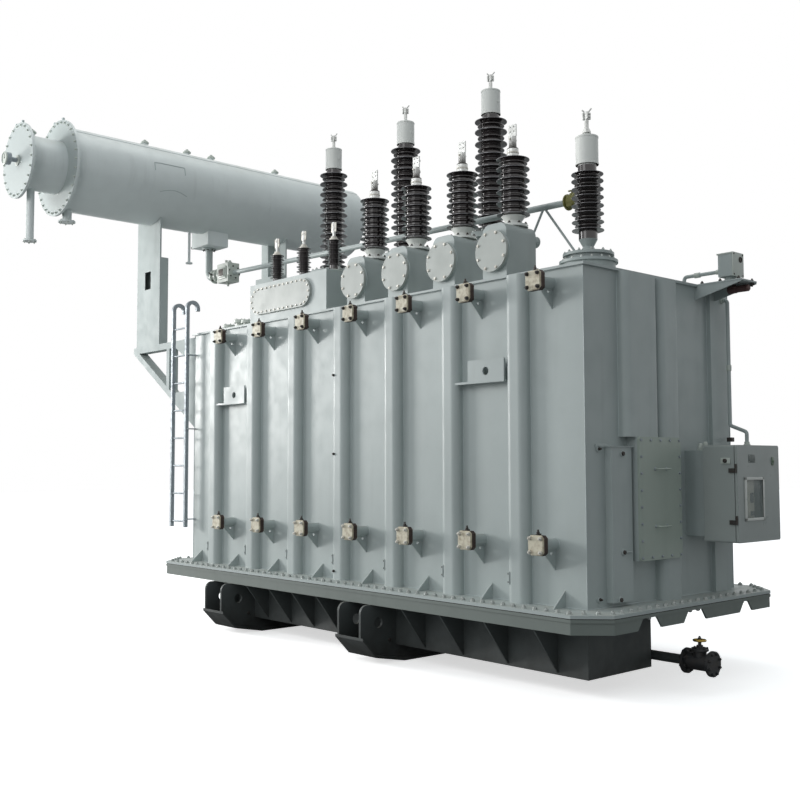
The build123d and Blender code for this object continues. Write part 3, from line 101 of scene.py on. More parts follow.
# Node helpers
class Nodes:
    """A small wrapper for building the node tree of a material or a world."""

    def __init__(self, owner):
        owner.use_nodes = True
        self.tree = owner.node_tree

    def set(self, node, inputs):
        """Set numbers and colours on a node's sockets, or link other nodes' outputs to them."""
        for key, value in inputs.items():
            if isinstance(value, (int, float, tuple)):
                node.inputs[key].default_value = value
            else:
                self.tree.links.new(value, node.inputs[key])

    def new(self, kind, inputs=None, **settings):
        node = self.tree.nodes.new(kind)
        for key, value in settings.items():
            setattr(node, key, value)
        self.set(node, inputs or {})
        return node

    def ramp(self, value, low, high, out_low=0.0, out_high=1.0):
        """A value stretched, and clamped, from one range to another."""
        source = {"Value": value, "From Min": low, "From Max": high}
        target = {"To Min": out_low, "To Max": out_high}
        return self.new("ShaderNodeMapRange", {**source, **target}).outputs["Result"]

    def math(self, operation, first, second):
        node = self.new("ShaderNodeMath", {0: first, 1: second}, operation=operation)
        return node.outputs["Value"]

    def mix(self, factor, first, second):
        inputs = {"Factor": factor, "A": first, "B": second}
        return self.new("ShaderNodeMix", inputs, data_type="RGBA").outputs["Result"]

    def split(self, vector):
        return self.new("ShaderNodeSeparateXYZ", {"Vector": vector}).outputs

    def bump(self, height, distance, strength=1.0, normal=None):
        inputs = {"Distance": distance, "Strength": strength, "Height": height}
        if normal is not None:
            inputs["Normal"] = normal
        return self.new("ShaderNodeBump", inputs).outputs["Normal"]


class MaterialNodes(Nodes):
    """The node tree of a new material."""

    def __init__(self, name):
        self.material = bpy.data.materials.new(name)
        super().__init__(self.material)
        self.shader = self.tree.nodes["Principled BSDF"]
        self.coords = self.new("ShaderNodeTexCoord").outputs["Object"]

    def noise(self, scale, stretch=(1, 1, 1), detail=4.0, roughness=0.55):
        inputs = {"Vector": self.coords, "Scale": stretch}
        vector = self.new("ShaderNodeMapping", inputs).outputs["Vector"]
        inputs = {"Vector": vector, "Scale": scale, "Detail": detail, "Roughness": roughness}
        return self.new("ShaderNodeTexNoise", inputs).outputs["Fac"]


def tone(red, green, blue):
    """A linear colour from the usual 0 to 255 values."""
    return tuple((value / 255.0) ** 2.2 for value in (red, green, blue)) + (1.0,)


def shade(colour, factor):
    """The same colour, lighter or darker."""
    return tuple(channel * factor for channel in colour[:3]) + (1.0,)


# Tones of dirt and wear, a tone of painted shade for near the ground, and the heights in metres between
# which that painted shade fades out
WHITE = (1.0, 1.0, 1.0, 1.0)
DUST = tone(176, 170, 156)
WORN = tone(92, 84, 74)
GROUND_SHADE_TONE = tone(38, 38, 36)
PORCELAIN_DUST = tone(120, 116, 110)
GROUND_SHADE_FADES_AT = 0.62
GROUND_SHADE_FULL_AT = 0.05


def painted(name, colour, rough=0.38, dust=0.35, streaks=0.5, ground_shade=0.0, wave=0.0022, peel=0.00012):
    """Sprayed paint on plate: soft waves in the plate, rain streaks, dust on ledges, worn spots and,
    when asked, painted shade that darkens it towards the ground.
    """
    n = MaterialNodes(name)
    patches = n.noise(0.9, detail=3.0)
    cloud = n.noise(6.0, detail=6.0)
    streak = n.noise(7.0, (1.0, 1.0, 0.07), detail=5.0)
    speck = n.noise(95.0, detail=2.0)
    normal_z = n.split(n.new("ShaderNodeNewGeometry").outputs["Normal"])[2]
    upward = n.ramp(normal_z, 0.55, 0.95)
    standing = n.math("SUBTRACT", 1.0, n.ramp(n.math("ABSOLUTE", normal_z, 0.0), 0.2, 0.6))
    base = n.mix(n.ramp(patches, 0.3, 0.7), shade(colour, 0.93), shade(colour, 1.05))
    base = n.mix(n.math("MULTIPLY", n.ramp(cloud, 0.45, 0.75), 0.25), base, shade(colour, 0.84))
    streak_mask = n.math("MULTIPLY", n.ramp(streak, 0.56, 0.74), standing)
    base = n.mix(n.math("MULTIPLY", streak_mask, streaks * 0.4), base, shade(colour, 0.62))
    dust_mask = n.math("MULTIPLY", upward, n.ramp(cloud, 0.25, 0.7))
    base = n.mix(n.math("MULTIPLY", dust_mask, dust), base, DUST)
    base = n.mix(n.math("MULTIPLY", n.ramp(speck, 0.72, 0.8), 0.35), base, WORN)
    # Painted shade: the paint grows darker towards the ground, broken up by the cloud noise, where the
    # base sits in shadow
    if ground_shade:
        low = n.ramp(n.split(n.coords)[2], GROUND_SHADE_FADES_AT, GROUND_SHADE_FULL_AT)
        ground_shade_mask = n.math("MULTIPLY", low, n.ramp(cloud, 0.2, 0.65, 0.55, 1.0))
        base = n.mix(n.math("MULTIPLY", ground_shade_mask, ground_shade), base, GROUND_SHADE_TONE)
    uneven = n.ramp(cloud, 0.3, 0.7, rough - 0.06, rough + 0.1)
    dusty = n.math("MULTIPLY", dust_mask, dust * 0.5)
    plate = n.bump(n.noise(1.7, detail=1.0), wave)
    n.set(n.shader, {
        "Base Color": base,
        "Roughness": n.math("ADD", uneven, dusty),
        "Normal": n.bump(n.noise(140.0, detail=2.0), peel, 0.6, plate),
        "Specular IOR Level": 0.45,
    })
    return n.material


def bare_metal(name, colour, metallic=1.0, rough=0.35, tarnish=(90, 80, 66), spread=0.35):
    """Plated or cast metal with patches of dull oxide."""
    n = MaterialNodes(name)
    cloud = n.noise(28.0, detail=6.0)
    fine = n.noise(160.0, detail=3.0)
    base = n.mix(n.math("MULTIPLY", n.ramp(cloud, 0.45, 0.72), spread), colour, tone(*tarnish))
    base = n.mix(n.math("MULTIPLY", n.ramp(fine, 0.5, 0.8), 0.25), base, shade(colour, 0.7))
    n.set(n.shader, {
        "Base Color": base,
        "Roughness": n.ramp(cloud, 0.3, 0.7, rough - 0.08, rough + 0.16),
        "Normal": n.bump(fine, 0.0002, 0.7),
        "Metallic": metallic,
    })
    return n.material


def glazed(name, colour, highlight):
    """Dark glazed porcelain with slight colour drift and fine unevenness."""
    n = MaterialNodes(name)
    drift = n.noise(4.0, detail=3.0)
    fine = n.noise(55.0, detail=3.0)
    normal_z = n.split(n.new("ShaderNodeNewGeometry").outputs["Normal"])[2]
    base = n.mix(n.ramp(drift, 0.3, 0.7), colour, highlight)
    dust = n.math("MULTIPLY", n.ramp(normal_z, 0.4, 0.95), n.ramp(fine, 0.3, 0.7, 0.1, 0.4))
    n.set(n.shader, {
        "Base Color": n.mix(dust, base, PORCELAIN_DUST),
        "Roughness": n.ramp(fine, 0.3, 0.75, 0.12, 0.26),
        "Normal": n.bump(drift, 0.0008, 0.5),
        "Coat Weight": 0.6,
        "Coat Roughness": 0.08,
    })
    return n.material


# Paints, metals, porcelain and glass
TANK = tone(170, 179, 178)
tank_paint = painted("tank_paint", TANK, rough=0.42)
support_paint = painted("support_paint", TANK, rough=0.66)
cover_paint = painted("cover_paint", tone(172, 177, 173), rough=0.42, wave=0.0006, streaks=0.3)
# The base's dark tone and its darkening towards the ground are painted shade, for the skids and lower
# tank that sit in shadow under the flange
shaded_base_paint = painted("shaded_base_paint", tone(84, 90, 90), rough=0.55, ground_shade=0.9, streaks=0.8)
# The cabinet's own grey, darkened as painted shade because its end of the tank lies in shadow
cabinet_paint = painted("cabinet_paint", tone(156, 163, 161), rough=0.33, wave=0.0008, streaks=0.25)
# The conservator's own light grey, lightened further as painted light to brighten its shaded underside
conservator_paint = painted(
    "conservator_paint", tone(214, 221, 221), rough=0.36, wave=0.003, streaks=0.7
)
cap_paint = painted("cap_paint", tone(232, 234, 230), rough=0.34, wave=0.0004, streaks=0.2)
white_frame = painted("white_frame", tone(214, 216, 212), rough=0.4, wave=0.0, streaks=0.1)
weld_paint = painted("weld_paint", tone(178, 188, 188), rough=0.45, wave=0.0, streaks=0.2, peel=0.0012)
dark_glaze = glazed("dark_glaze", tone(31, 26, 28), tone(42, 35, 36))
# A lighter glaze for the sheds' outer rims: a painted highlight standing in for the light line each rim
# reflects
rim_highlight_glaze = glazed("rim_highlight_glaze", tone(86, 86, 90), tone(108, 108, 112))
cast_black = bare_metal("cast_black", tone(36, 38, 40), metallic=0.0, rough=0.5, tarnish=(62, 54, 48))
valve_body = bare_metal(
    "valve_body", tone(58, 42, 36), metallic=0.0, rough=0.55, tarnish=(30, 26, 24), spread=0.6
)
blank_primer = bare_metal(
    "blank_primer", tone(202, 196, 176), metallic=0.0, rough=0.5, tarnish=(120, 98, 70), spread=0.6
)
zinc = bare_metal("zinc", tone(166, 172, 170), metallic=0.5, rough=0.45, tarnish=(140, 136, 128))
pale_bolt = bare_metal(
    "pale_bolt", tone(206, 204, 196), metallic=0.3, rough=0.45, tarnish=(140, 128, 110)
)
dark_bolt = bare_metal(
    "dark_bolt", tone(66, 64, 62), metallic=0.6, rough=0.5, tarnish=(58, 44, 36), spread=0.5
)
galvanised = bare_metal(
    "galvanised", tone(150, 158, 164), metallic=0.4, rough=0.5, tarnish=(122, 128, 132), spread=0.5
)
aluminium = bare_metal(
    "aluminium", tone(196, 198, 196), metallic=0.8, rough=0.4, tarnish=(150, 150, 146)
)
brass = bare_metal("brass", tone(158, 134, 72), rough=0.42, tarnish=(86, 70, 40), spread=0.6)
olive = painted("olive", tone(112, 110, 58), rough=0.5, wave=0.0)
red_brown = painted("red_brown", tone(86, 62, 60), rough=0.5, wave=0.0)
rubber = bare_metal("rubber", tone(30, 31, 31), metallic=0.0, rough=0.75, tarnish=(56, 54, 50))
# A darker copy of the tank paint: painted shade for the flange skirt and lower flange, which lie in
# shadow
shaded_skirt_paint = painted("shaded_skirt_paint", tone(112, 120, 116), rough=0.5, wave=0.0, streaks=0.7)
panel_paint = painted("panel_paint", tone(162, 173, 164), wave=0.0008)
relay_paint = painted("relay_paint", tone(190, 197, 190), rough=0.4, wave=0.0004)
plate_face = bare_metal("plate_face", tone(92, 100, 98), metallic=0.3, rough=0.42, tarnish=(70, 78, 76))
cream = painted("cream", tone(206, 200, 184), rough=0.45, wave=0.0, streaks=0.0)
label_green = painted("label_green", tone(112, 128, 112), rough=0.45, wave=0.0, streaks=0.0)

glass = MaterialNodes("window_glass")
glass.set(glass.shader, {
    "Base Color": tone(214, 224, 222),
    "Alpha": 0.22,
    "IOR": 1.45,
    "Roughness": glass.ramp(glass.noise(40.0, detail=5.0), 0.35, 0.75, 0.0, 0.12),
})

# Which solids have which material; every other solid has the tank's own paint
FINISHES = (
    (shaded_base_paint, "haulage_skids skid_soles lower_tank"),
    (shaded_skirt_paint, "flange_skirt lower_flange"),
    (rubber, "flange_gasket"),
    (cast_black, "drain_valve"),
    (brass, "drain_handwheel"),
    (valve_body, "radiator_valves"),
    (panel_paint, "access_panel"),
    (cabinet_paint, "cabinet_door cabinet_housing"),
    (glass.material, "cabinet_window"),
    (cover_paint, "lv_turret_covers inspection_cover"),
    (dark_glaze, "hv_insulators lv_insulators neutral_insulator small_bushings"),
    (aluminium, "lv_fittings"),
    (cap_paint, "expansion_caps"),
    (relay_paint, "gas_relay"),
    (conservator_paint, "conservator tapchanger_conservator"),
    (support_paint, "conservator_supports"),
    (galvanised, "ladder level_gauge"),
)
finish_of = {name: material for material, names in FINISHES for name in names.split()}
for node_name, node in nodes.items():
    node.data.materials.clear()
    node.data.materials.append(finish_of.get(node_name, tank_paint))
    node.data.shade_smooth()
    node.data.set_sharp_from_angle(angle=SHARP_ANGLE)


def repaint(node_name, material, test):
    """Give the faces of a solid that pass the test another material."""
    mesh = nodes[node_name].data
    mesh.materials.append(material)
    index = len(mesh.materials) - 1
    for face in mesh.polygons:
        centre = face.center
        spot = (centre.x / MM + ORIGIN_X, centre.y / MM, centre.z / MM)
        if test(spot, face.normal):
            face.material_index = index


# Radii of the sheds, and places on the solids where the material changes
LV_SHEDS = 143.0
HV_SHEDS = 162.0
NEUTRAL_SHEDS = 130.0
RIM_DEPTH = 7.0
STEEPEST_RIM = 0.4
VALVE_FACE_Y = 1231.0
HINGE_EDGE_Y = 261.0
HINGE_Z = (1290.0, 1700.0)
HINGE_HALF_HEIGHT = 75.0
SMALL_FLANGE_Z = 3702.0
SMALL_CAP_Z = 4002.0
LV_CAP_Z = 3860.0
LV_NUT_Z = (4425.0, 4500.0)
EXPANSION_TIP_Z = 5530.0
NEUTRAL_TIP_Z = (4440.0, 4700.0)
HEADER_END_X = 1930.0
HEADER_END_Z = 3900.0


def near_rim(columns, radius):
    """A test for the outer edge of the sheds that stand about some upright axes."""

    def test(spot, normal):
        reach = min(math.hypot(spot[0] - x, spot[1] - y) for x, y in columns)
        return reach > radius - RIM_DEPTH and abs(normal.z) < STEEPEST_RIM

    return test


def between(low=-math.inf, high=math.inf):
    """A test for what lies between two heights."""
    return lambda spot, normal: low < spot[2] < high


def at_cap_end(spot, normal):
    """A test for the expansion caps' metal ends, the neutral's lower than the others."""
    return spot[2] > EXPANSION_TIP_Z or NEUTRAL_TIP_Z[0] < spot[2] < NEUTRAL_TIP_Z[1]


def at_header_end(spot, normal):
    """A test for the valve at the header pipe's near end."""
    return spot[0] > HEADER_END_X and spot[2] > HEADER_END_Z


def on_hinge(spot, normal):
    """A test for the two hinges at the cabinet's edge."""
    off_hinge = min(abs(spot[2] - height) for height in HINGE_Z)
    return spot[1] < HINGE_EDGE_Y and off_hinge < HINGE_HALF_HEIGHT


repaint("radiator_valves", blank_primer, lambda spot, normal: abs(spot[1]) > VALVE_FACE_Y - 1.0)
# Painted highlight: the sheds' outer rims get the lighter rim glaze
repaint("lv_insulators", rim_highlight_glaze, near_rim([(x, LV_Y) for x in LV_X], LV_SHEDS))
repaint("hv_insulators", rim_highlight_glaze, near_rim([(x, HV_Y) for x in HV_X], HV_SHEDS))
repaint("neutral_insulator", rim_highlight_glaze, near_rim([NEUTRAL], NEUTRAL_SHEDS))
repaint("small_bushings", relay_paint, between(high=SMALL_FLANGE_Z))
repaint("small_bushings", aluminium, between(low=SMALL_CAP_Z))
repaint("lv_fittings", cap_paint, between(high=LV_CAP_Z))
repaint("lv_fittings", dark_bolt, between(*LV_NUT_Z))
repaint("expansion_caps", aluminium, at_cap_end)
# Painted shade: the conservators' faces that look to the front get the tank's darker paint, to hold
# down the lamps' light on them
for plated in ("conservator", "tapchanger_conservator"):
    repaint(plated, tank_paint, lambda spot, normal: normal.y < -0.9)
for hinged in ("cabinet_door", "cabinet_housing"):
    repaint(hinged, dark_bolt, on_hinge)
# Painted shade: the gussets' parts under the flange get the base's dark tone
repaint("flange_gussets", shaded_base_paint, between(high=FLANGE_UNDER_Z))
repaint("header_pipe", olive, at_header_end)


# Shape builder
def across_axis(axis):
    """Two unit directions that are square to an axis and to each other."""
    side = axis.orthogonal().normalized()
    return side, axis.cross(side)


def around(centre, side, other, radius, count, phase=0.0):
    """Evenly spaced points on a circle in the plane of two unit directions."""
    spots = []
    for index in range(count):
        angle = phase + 2 * math.pi * index / count
        spots.append(centre + (side * math.cos(angle) + other * math.sin(angle)) * radius)
    return spots


class Shape:
    """Collects the points and faces of one piece."""

    # Sizes of a nut and its washer, as shares of the width across its flats
    NUT_HEIGHT = 0.55
    WASHER_RADIUS = 0.62
    WASHER_HEIGHT = 0.1
    THREAD_RADIUS = 0.31
    # Where a nut's crown and a bolt's end start to draw in, and by how much
    CROWN_START = 0.82
    CROWN_DRAW = 0.84
    END_START = 0.8
    END_DRAW = 0.75

    def __init__(self):
        self.points = []
        self.faces = []

    def add(self, points, faces):
        first = len(self.points)
        self.points.extend(points)
        self.faces.extend(tuple(first + index for index in face) for face in faces)

    def loft(self, rings, capped=True, closed=False):
        """Skin a row of rings that have the same number of points."""
        count = len(rings[0])
        points = [Vector(point) for ring in rings for point in ring]
        faces = []
        spans = len(rings) if closed else len(rings) - 1
        for row in range(spans):
            low = row * count
            high = ((row + 1) % len(rings)) * count
            for index in range(count):
                after = (index + 1) % count
                faces.append((low + index, low + after, high + after, high + index))
        if capped and not closed:
            faces.append(tuple(range(count))[::-1])
            faces.append(tuple(range(len(points) - count, len(points))))
        self.add(points, faces)

    def turned(self, centre, axis, profile, sides=20, phase=0.0):
        """A round, or with few sides a polygonal, body from radius and height pairs."""
        axis = Vector(axis).normalized()
        side, other = across_axis(axis)
        centre = Vector(centre)
        self.loft([
            around(centre + axis * height, side, other, radius, sides, phase)
            for radius, height in profile
        ])

    def box(self, x, y, z, bevel=0.0):
        """A box with small chamfers on every edge."""
        mesh = bmesh.new()
        bmesh.ops.create_cube(mesh, size=1.0)
        for vertex in mesh.verts:
            spans = zip(vertex.co, (x, y, z))
            vertex.co = [low + (share + 0.5) * (high - low) for share, (low, high) in spans]
        if bevel:
            edges = mesh.edges[:]
            bmesh.ops.bevel(mesh, geom=edges, offset=bevel, segments=2, profile=0.6, affect="EDGES")
        mesh.verts.index_update()
        points = [vertex.co.copy() for vertex in mesh.verts]
        self.add(points, [tuple(vertex.index for vertex in face.verts) for face in mesh.faces])
        mesh.free()

    def tube(self, path, radius, sides=12, closed=False):
        """A round bar along a path."""
        path = [Vector(point) for point in path]
        rings = []
        side = None
        for index, point in enumerate(path):
            if closed:
                before, after = path[index - 1], path[(index + 1) % len(path)]
            else:
                before, after = path[max(index - 1, 0)], path[min(index + 1, len(path) - 1)]
            along = (after - before).normalized()
            side = along.orthogonal() if side is None else side - along * side.dot(along)
            side.normalize()
            rings.append(around(point, side, along.cross(side), radius, sides))
        self.loft(rings, capped=not closed, closed=closed)

    def nut(self, seat, axis, across, height=None, washer=True, stud=0.0, phase=0.0):
        """A hexagon nut or head on its washer, with the bolt's end above it."""
        axis = Vector(axis).normalized()
        seat = Vector(seat)
        corner = across / math.sqrt(3.0)
        height = height or across * self.NUT_HEIGHT
        lift = 0.0
        if washer:
            lift = across * self.WASHER_HEIGHT
            reach = across * self.WASHER_RADIUS
            self.turned(seat, axis, [(reach, 0), (reach, lift)], 16)
        top = lift + height
        shoulder = lift + height * self.CROWN_START
        crown = (corner * self.CROWN_DRAW, top)
        self.turned(seat, axis, [(corner, lift), (corner, shoulder), crown], 6, phase)
        if stud:
            thread = across * self.THREAD_RADIUS
            end = [(thread, top + stud * self.END_START), (thread * self.END_DRAW, top + stud)]
            self.turned(seat, axis, [(thread, top), *end], 10)

    def make(self, name, body, material):
        """Write the collected faces as one piece that rides on a body."""
        mesh = bpy.data.meshes.new(name)
        mesh.from_pydata([place(point) for point in self.points], [], self.faces)
        mesh.materials.append(material)
        mesh.shade_smooth()
        mesh.set_sharp_from_angle(angle=SHARP_ANGLE)
        piece = bpy.data.objects.new(name, mesh)
        bpy.context.scene.collection.objects.link(piece)
        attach(piece, body)


def spaced(start, end, pitch):
    """Points at an even pitch between two places, ends included."""
    start, end = Vector(start), Vector(end)
    count = max(1, round((end - start).length / pitch))
    return [start.lerp(end, index / count) for index in range(count + 1)]


def circle(centre, axis, radius, count, phase=0.0):
    """Evenly spaced places on a circle about an axis."""
    return around(Vector(centre), *across_axis(Vector(axis).normalized()), radius, count, phase)


def rod(radius, length):
    """The profile of a plain round bar."""
    return [(radius, 0), (radius, length)]


def button(radius, shoulder, crown, top):
    """The profile of a round head that draws in above its shoulder."""
    return [(radius, 0), (radius, shoulder), (crown, top)]


def band(inner, outer, height, edge, low=0):
    """The profile of a chamfered band that stands proud of a round body."""
    high = low + height
    return [(inner, low), (outer, low + edge), (outer, high - edge), (inner, high)]


def bolt_ring(shape, centre, axis, radius, count, across, phase=0.0, **nut):
    """Nuts spaced round a circle."""
    for spot in circle(centre, axis, radius, count, phase):
        shape.nut(spot, axis, across, **nut)


def bolt_rows(shape, corners, pitch, axis, across, **nut):
    """Nuts along the straight runs between corners."""
    for start, end in zip(corners, corners[1:]):
        for spot in spaced(start, end, pitch)[:-1]:
            shape.nut(spot, axis, across, **nut)


def four_bars(shape, x, y, z, width, bevel):
    """An upright frame of four bars inside an outline."""
    shape.box(x, (y[0], y[0] + width), z, bevel)
    shape.box(x, (y[1] - width, y[1]), z, bevel)
    shape.box(x, y, (z[0], z[0] + width), bevel)
    shape.box(x, y, (z[1] - width, z[1]), bevel)


UP = (0, 0, 1)
DOWN = (0, 0, -1)
FRONT = (0, -1, 0)
REAR = (0, 1, 0)
RIGHT = (1, 0, 0)
LEFT = (-1, 0, 0)
SIDES = (-1, 1)

# Half a step round a circle of eight bolts
HALF_STEP = math.pi / 8

# Widths of nuts and bolt heads across their flats, from the tank's flanges to the small caps
FLANGE_NUT = 32.0
PLUG_NUT = 30.0
TURRET_NUT = 26.0
SHELF_NUT = 24.0
COVER_NUT = 22.0
DRAIN_NUT = 20.0
PANEL_NUT = 18.0
PIPE_NUT = 16.0
GAUGE_NUT = 14.0
POCKET_NUT = 12.0
CAP_NUT = 10.0

# Bolts through the two tank flanges, each nut turned a little by its place
BOLT_INSET = 52.0
BOLT_PITCH = 108.0
TURN_BY_X = 0.37
TURN_BY_Y = 0.21
line_x = FLANGE_HALF_LENGTH - BOLT_INSET
line_y = FLANGE_HALF_WIDTH - BOLT_INSET
cut_x = line_x - FLANGE_CORNER
cut_y = line_y - FLANGE_CORNER
outline = [
    (line_x, -cut_y), (line_x, cut_y), (cut_x, line_y), (-cut_x, line_y),
    (-line_x, cut_y), (-line_x, -cut_y), (-cut_x, -line_y), (cut_x, -line_y),
]
flange_bolts = Shape()
for start, end in zip(outline, outline[1:] + outline[:1]):
    for spot in spaced((*start, FLANGE_TOP_Z), (*end, FLANGE_TOP_Z), BOLT_PITCH)[:-1]:
        turned_by = (spot.x * TURN_BY_X + spot.y * TURN_BY_Y) % 1.0
        low_spot = (spot.x, spot.y, FLANGE_UNDER_Z)
        flange_bolts.nut(spot, UP, FLANGE_NUT, height=15.0, stud=7.0, phase=turned_by)
        flange_bolts.nut(low_spot, DOWN, FLANGE_NUT, stud=4.0, phase=turned_by)
flange_bolts.make("flange_bolts", "tank", zinc)

# Bolts, nuts and spindles of the blanked radiator valves
BLANK_FACE_Y = 1243.0
VALVE_REAR_Y = 1187.0
VALVE_STEM_Y = 1209.0
VALVE_STEM_RISE = 76.0
STOP_PIN_SHIFT = 26.0
VALVE_CORNERS = list(product((-52.0, 52.0), repeat=2))
STEM_BOSS = [(19, 0), (19, 8), (13, 10), (13, 24)]
STEM_SQUARE = [(8, 24), (8, 40), (6, 42)]
valve_nuts = Shape()
low_nuts = Shape()
spindles = Shape()
for x, z, side in product(STUB_X, STUB_Z, SIDES):
    nuts = valve_nuts if z == STUB_Z[1] else low_nuts
    out = Vector((0, side, 0))
    for dx, dz in VALVE_CORNERS:
        rear = Vector((x + dx, side * VALVE_REAR_Y, z + dz))
        nuts.nut((x + dx, side * BLANK_FACE_Y, z + dz), out, TURRET_NUT, stud=9.0, phase=0.3)
        nuts.nut(rear, -out, SHELF_NUT, phase=0.8)
        nuts.turned(rear - out, out, rod(6.0, BLANK_FACE_Y - VALVE_REAR_Y + 2.0), 8)
    stem = (x, side * VALVE_STEM_Y, z + VALVE_STEM_RISE)
    spindles.turned(stem, UP, STEM_BOSS, 20)
    spindles.turned(stem, UP, STEM_SQUARE, 4)
    spindles.turned((x + STOP_PIN_SHIFT, *stem[1:]), UP, rod(5, 14), 10)
valve_nuts.make("valve_nuts", "tank", dark_bolt)
low_nuts.make("low_valve_nuts", "tank", pale_bolt)
spindles.make("valve_spindles", "tank", dark_bolt)

# Bolts on the low-voltage turrets and their terminals' bands
LV_COVER_Y = -909.0
LV_COVER_Z = 3520.0
LV_FLANGE_Z = 3776.0
LV_FLAG_Z = 4528.0
LV_BANDS = ((4349.0, band(54, 56, 26, 4)), (4398.0, band(51, 53, 16, 3)))
cover_bolts = Shape()
flange_nuts = Shape()
dark_nuts = Shape()
for x in LV_X:
    cover = (x, LV_COVER_Y, LV_COVER_Z)
    bolt_ring(cover_bolts, cover, FRONT, 156.0, 8, COVER_NUT, HALF_STEP, height=9.0)
    bolt_ring(dark_nuts, (x, LV_Y, LV_FLANGE_Z), UP, 110.0, 8, COVER_NUT, HALF_STEP, stud=8.0)
    for z, profile in LV_BANDS:
        cover_bolts.turned((x, LV_Y, z), UP, profile, 32)
    for side in SIDES:
        cover_bolts.nut((x, LV_Y + side * 33.0, LV_FLAG_Z), (0, side, 0), PANEL_NUT)

# Bolts on the high-voltage and neutral turrets
HV_FLANGE_Z = 4012.0
HV_FLANGE_UNDER_Z = 3960.0
NEUTRAL_RINGS = ((3375.0, 206.0, 16, COVER_NUT), (3437.0, 190.0, 12, DRAIN_NUT))
for x in HV_X:
    for spot in circle((x, HV_Y, HV_FLANGE_Z), UP, 252.0, 16):
        flange_nuts.nut(spot, UP, TURRET_NUT, stud=10.0)
        flange_nuts.nut((spot.x, spot.y, HV_FLANGE_UNDER_Z), DOWN, TURRET_NUT)
    bolt_ring(dark_nuts, (x, HV_Y, HV_FLANGE_Z), UP, 146.0, 8, COVER_NUT, stud=8.0)
for z, radius, count, across in NEUTRAL_RINGS:
    bolt_ring(flange_nuts, (*NEUTRAL, z), UP, radius, count, across, stud=8.0)

# Flange nuts, caps and flat terminals of the small bushings
SMALL_BUSHING_X = (-1510.0, -1025.0, -515.0)
SMALL_BUSHING_Y = -780.0
SMALL_NUT_Z = SMALL_FLANGE_Z - 1.0
SMALL_CAP_SEAT_Z = SMALL_CAP_Z - 1.0
FLAG_FACE_Y = SMALL_BUSHING_Y - 6.0
FLAG_BACK_Y = SMALL_BUSHING_Y + 6.0
FLAG_HALF_WIDTH = 38.0
SMALL_CAP = [(44, 0), (46, 3), (46, 20), (30, 30), (30, 44), (20, 48)]
for x in SMALL_BUSHING_X:
    flag = (x - FLAG_HALF_WIDTH, x + FLAG_HALF_WIDTH)
    bolt_ring(dark_nuts, (x, SMALL_BUSHING_Y, SMALL_NUT_Z), UP, 68.0, 6, PIPE_NUT, stud=5.0)
    cover_bolts.turned((x, SMALL_BUSHING_Y, SMALL_CAP_SEAT_Z), UP, SMALL_CAP, 24)
    cover_bolts.box(flag, (FLAG_FACE_Y, FLAG_BACK_Y), (4092.0, 4188.0), 3.0)
    cover_bolts.nut((x, FLAG_FACE_Y, 4158.0), FRONT, PANEL_NUT)

# Bolts round the inspection cover's long outline
COVER_ENDS_X = (-1585.0, -810.0)
COVER_FACE_Y = -976.0
COVER_MIDDLE_Z = 3495.0
COVER_ROW = 124.0
COVER_PITCH = 76.0
COVER_END_TURNS = (-60, -30, 0, 30, 60)
top_row = [(x, COVER_FACE_Y, COVER_MIDDLE_Z + COVER_ROW) for x in COVER_ENDS_X]
cover_spots = []
for spot in spaced(*top_row, COVER_PITCH):
    cover_spots += [spot, (spot.x, spot.y, COVER_MIDDLE_Z - COVER_ROW)]
for (x, side), degrees in product(zip(COVER_ENDS_X, SIDES), COVER_END_TURNS):
    angle = math.radians(degrees)
    end_x = x + side * math.cos(angle) * COVER_ROW
    cover_spots.append((end_x, COVER_FACE_Y, COVER_MIDDLE_Z + math.sin(angle) * COVER_ROW))
for spot in cover_spots:
    cover_bolts.nut(spot, FRONT, PANEL_NUT, height=8.0)
cover_bolts.make("cover_bolts", "tank", pale_bolt)
flange_nuts.make("flange_nuts", "tank", zinc)
dark_nuts.make("bushing_nuts", "tank", dark_bolt)

# Clamps on the ends of the tall terminals: two jaws, their bolts and a small fork
TERMINALS = [(x, HV_Y, 5657.0) for x in HV_X] + [(*NEUTRAL, 4614.0)]
CLAMP_COLLAR = [(34, 0), (34, 16), (26, 26), (26, 34)]
CLAMP_COLLAR_DROP = 178.0
JAW_SHIFT = 20.0
JAW_HALF = 7.0
JAW_REACH = 24.0
JAW_DROPS = (66.0, 8.0)
JAW_BOLT_DROPS = (50.0, 24.0)
PRONG_ROOT_DROP = 12.0
PRONG_TIPS = ((30.0, 26.0, 40.0), (-26.0, -22.0, 28.0))
clamps = Shape()
for x, y, top in TERMINALS:
    clamps.turned((x, y, top - CLAMP_COLLAR_DROP), UP, CLAMP_COLLAR, 24)
    for side in SIDES:
        jaw = x + side * JAW_SHIFT
        jaw_x = (jaw - JAW_HALF, jaw + JAW_HALF)
        jaw_z = (top - JAW_DROPS[0], top - JAW_DROPS[1])
        clamps.box(jaw_x, (y - JAW_REACH, y + JAW_REACH), jaw_z, 2.5)
        jaw_face = x + side * (JAW_SHIFT + JAW_HALF)
        for drop in JAW_BOLT_DROPS:
            clamps.nut((jaw_face, y, top - drop), (side, 0, 0), PIPE_NUT, stud=4.0)
    root = Vector((x, y, top - PRONG_ROOT_DROP))
    for dx, dy, dz in PRONG_TIPS:
        bend = root + Vector((dx * 0.5, dy * 0.5, dz * 0.4))
        clamps.tube([root, bend, root + Vector((dx, dy, dz))], 6.5, 10)
clamps.make("terminal_clamps", "tank", aluminium)

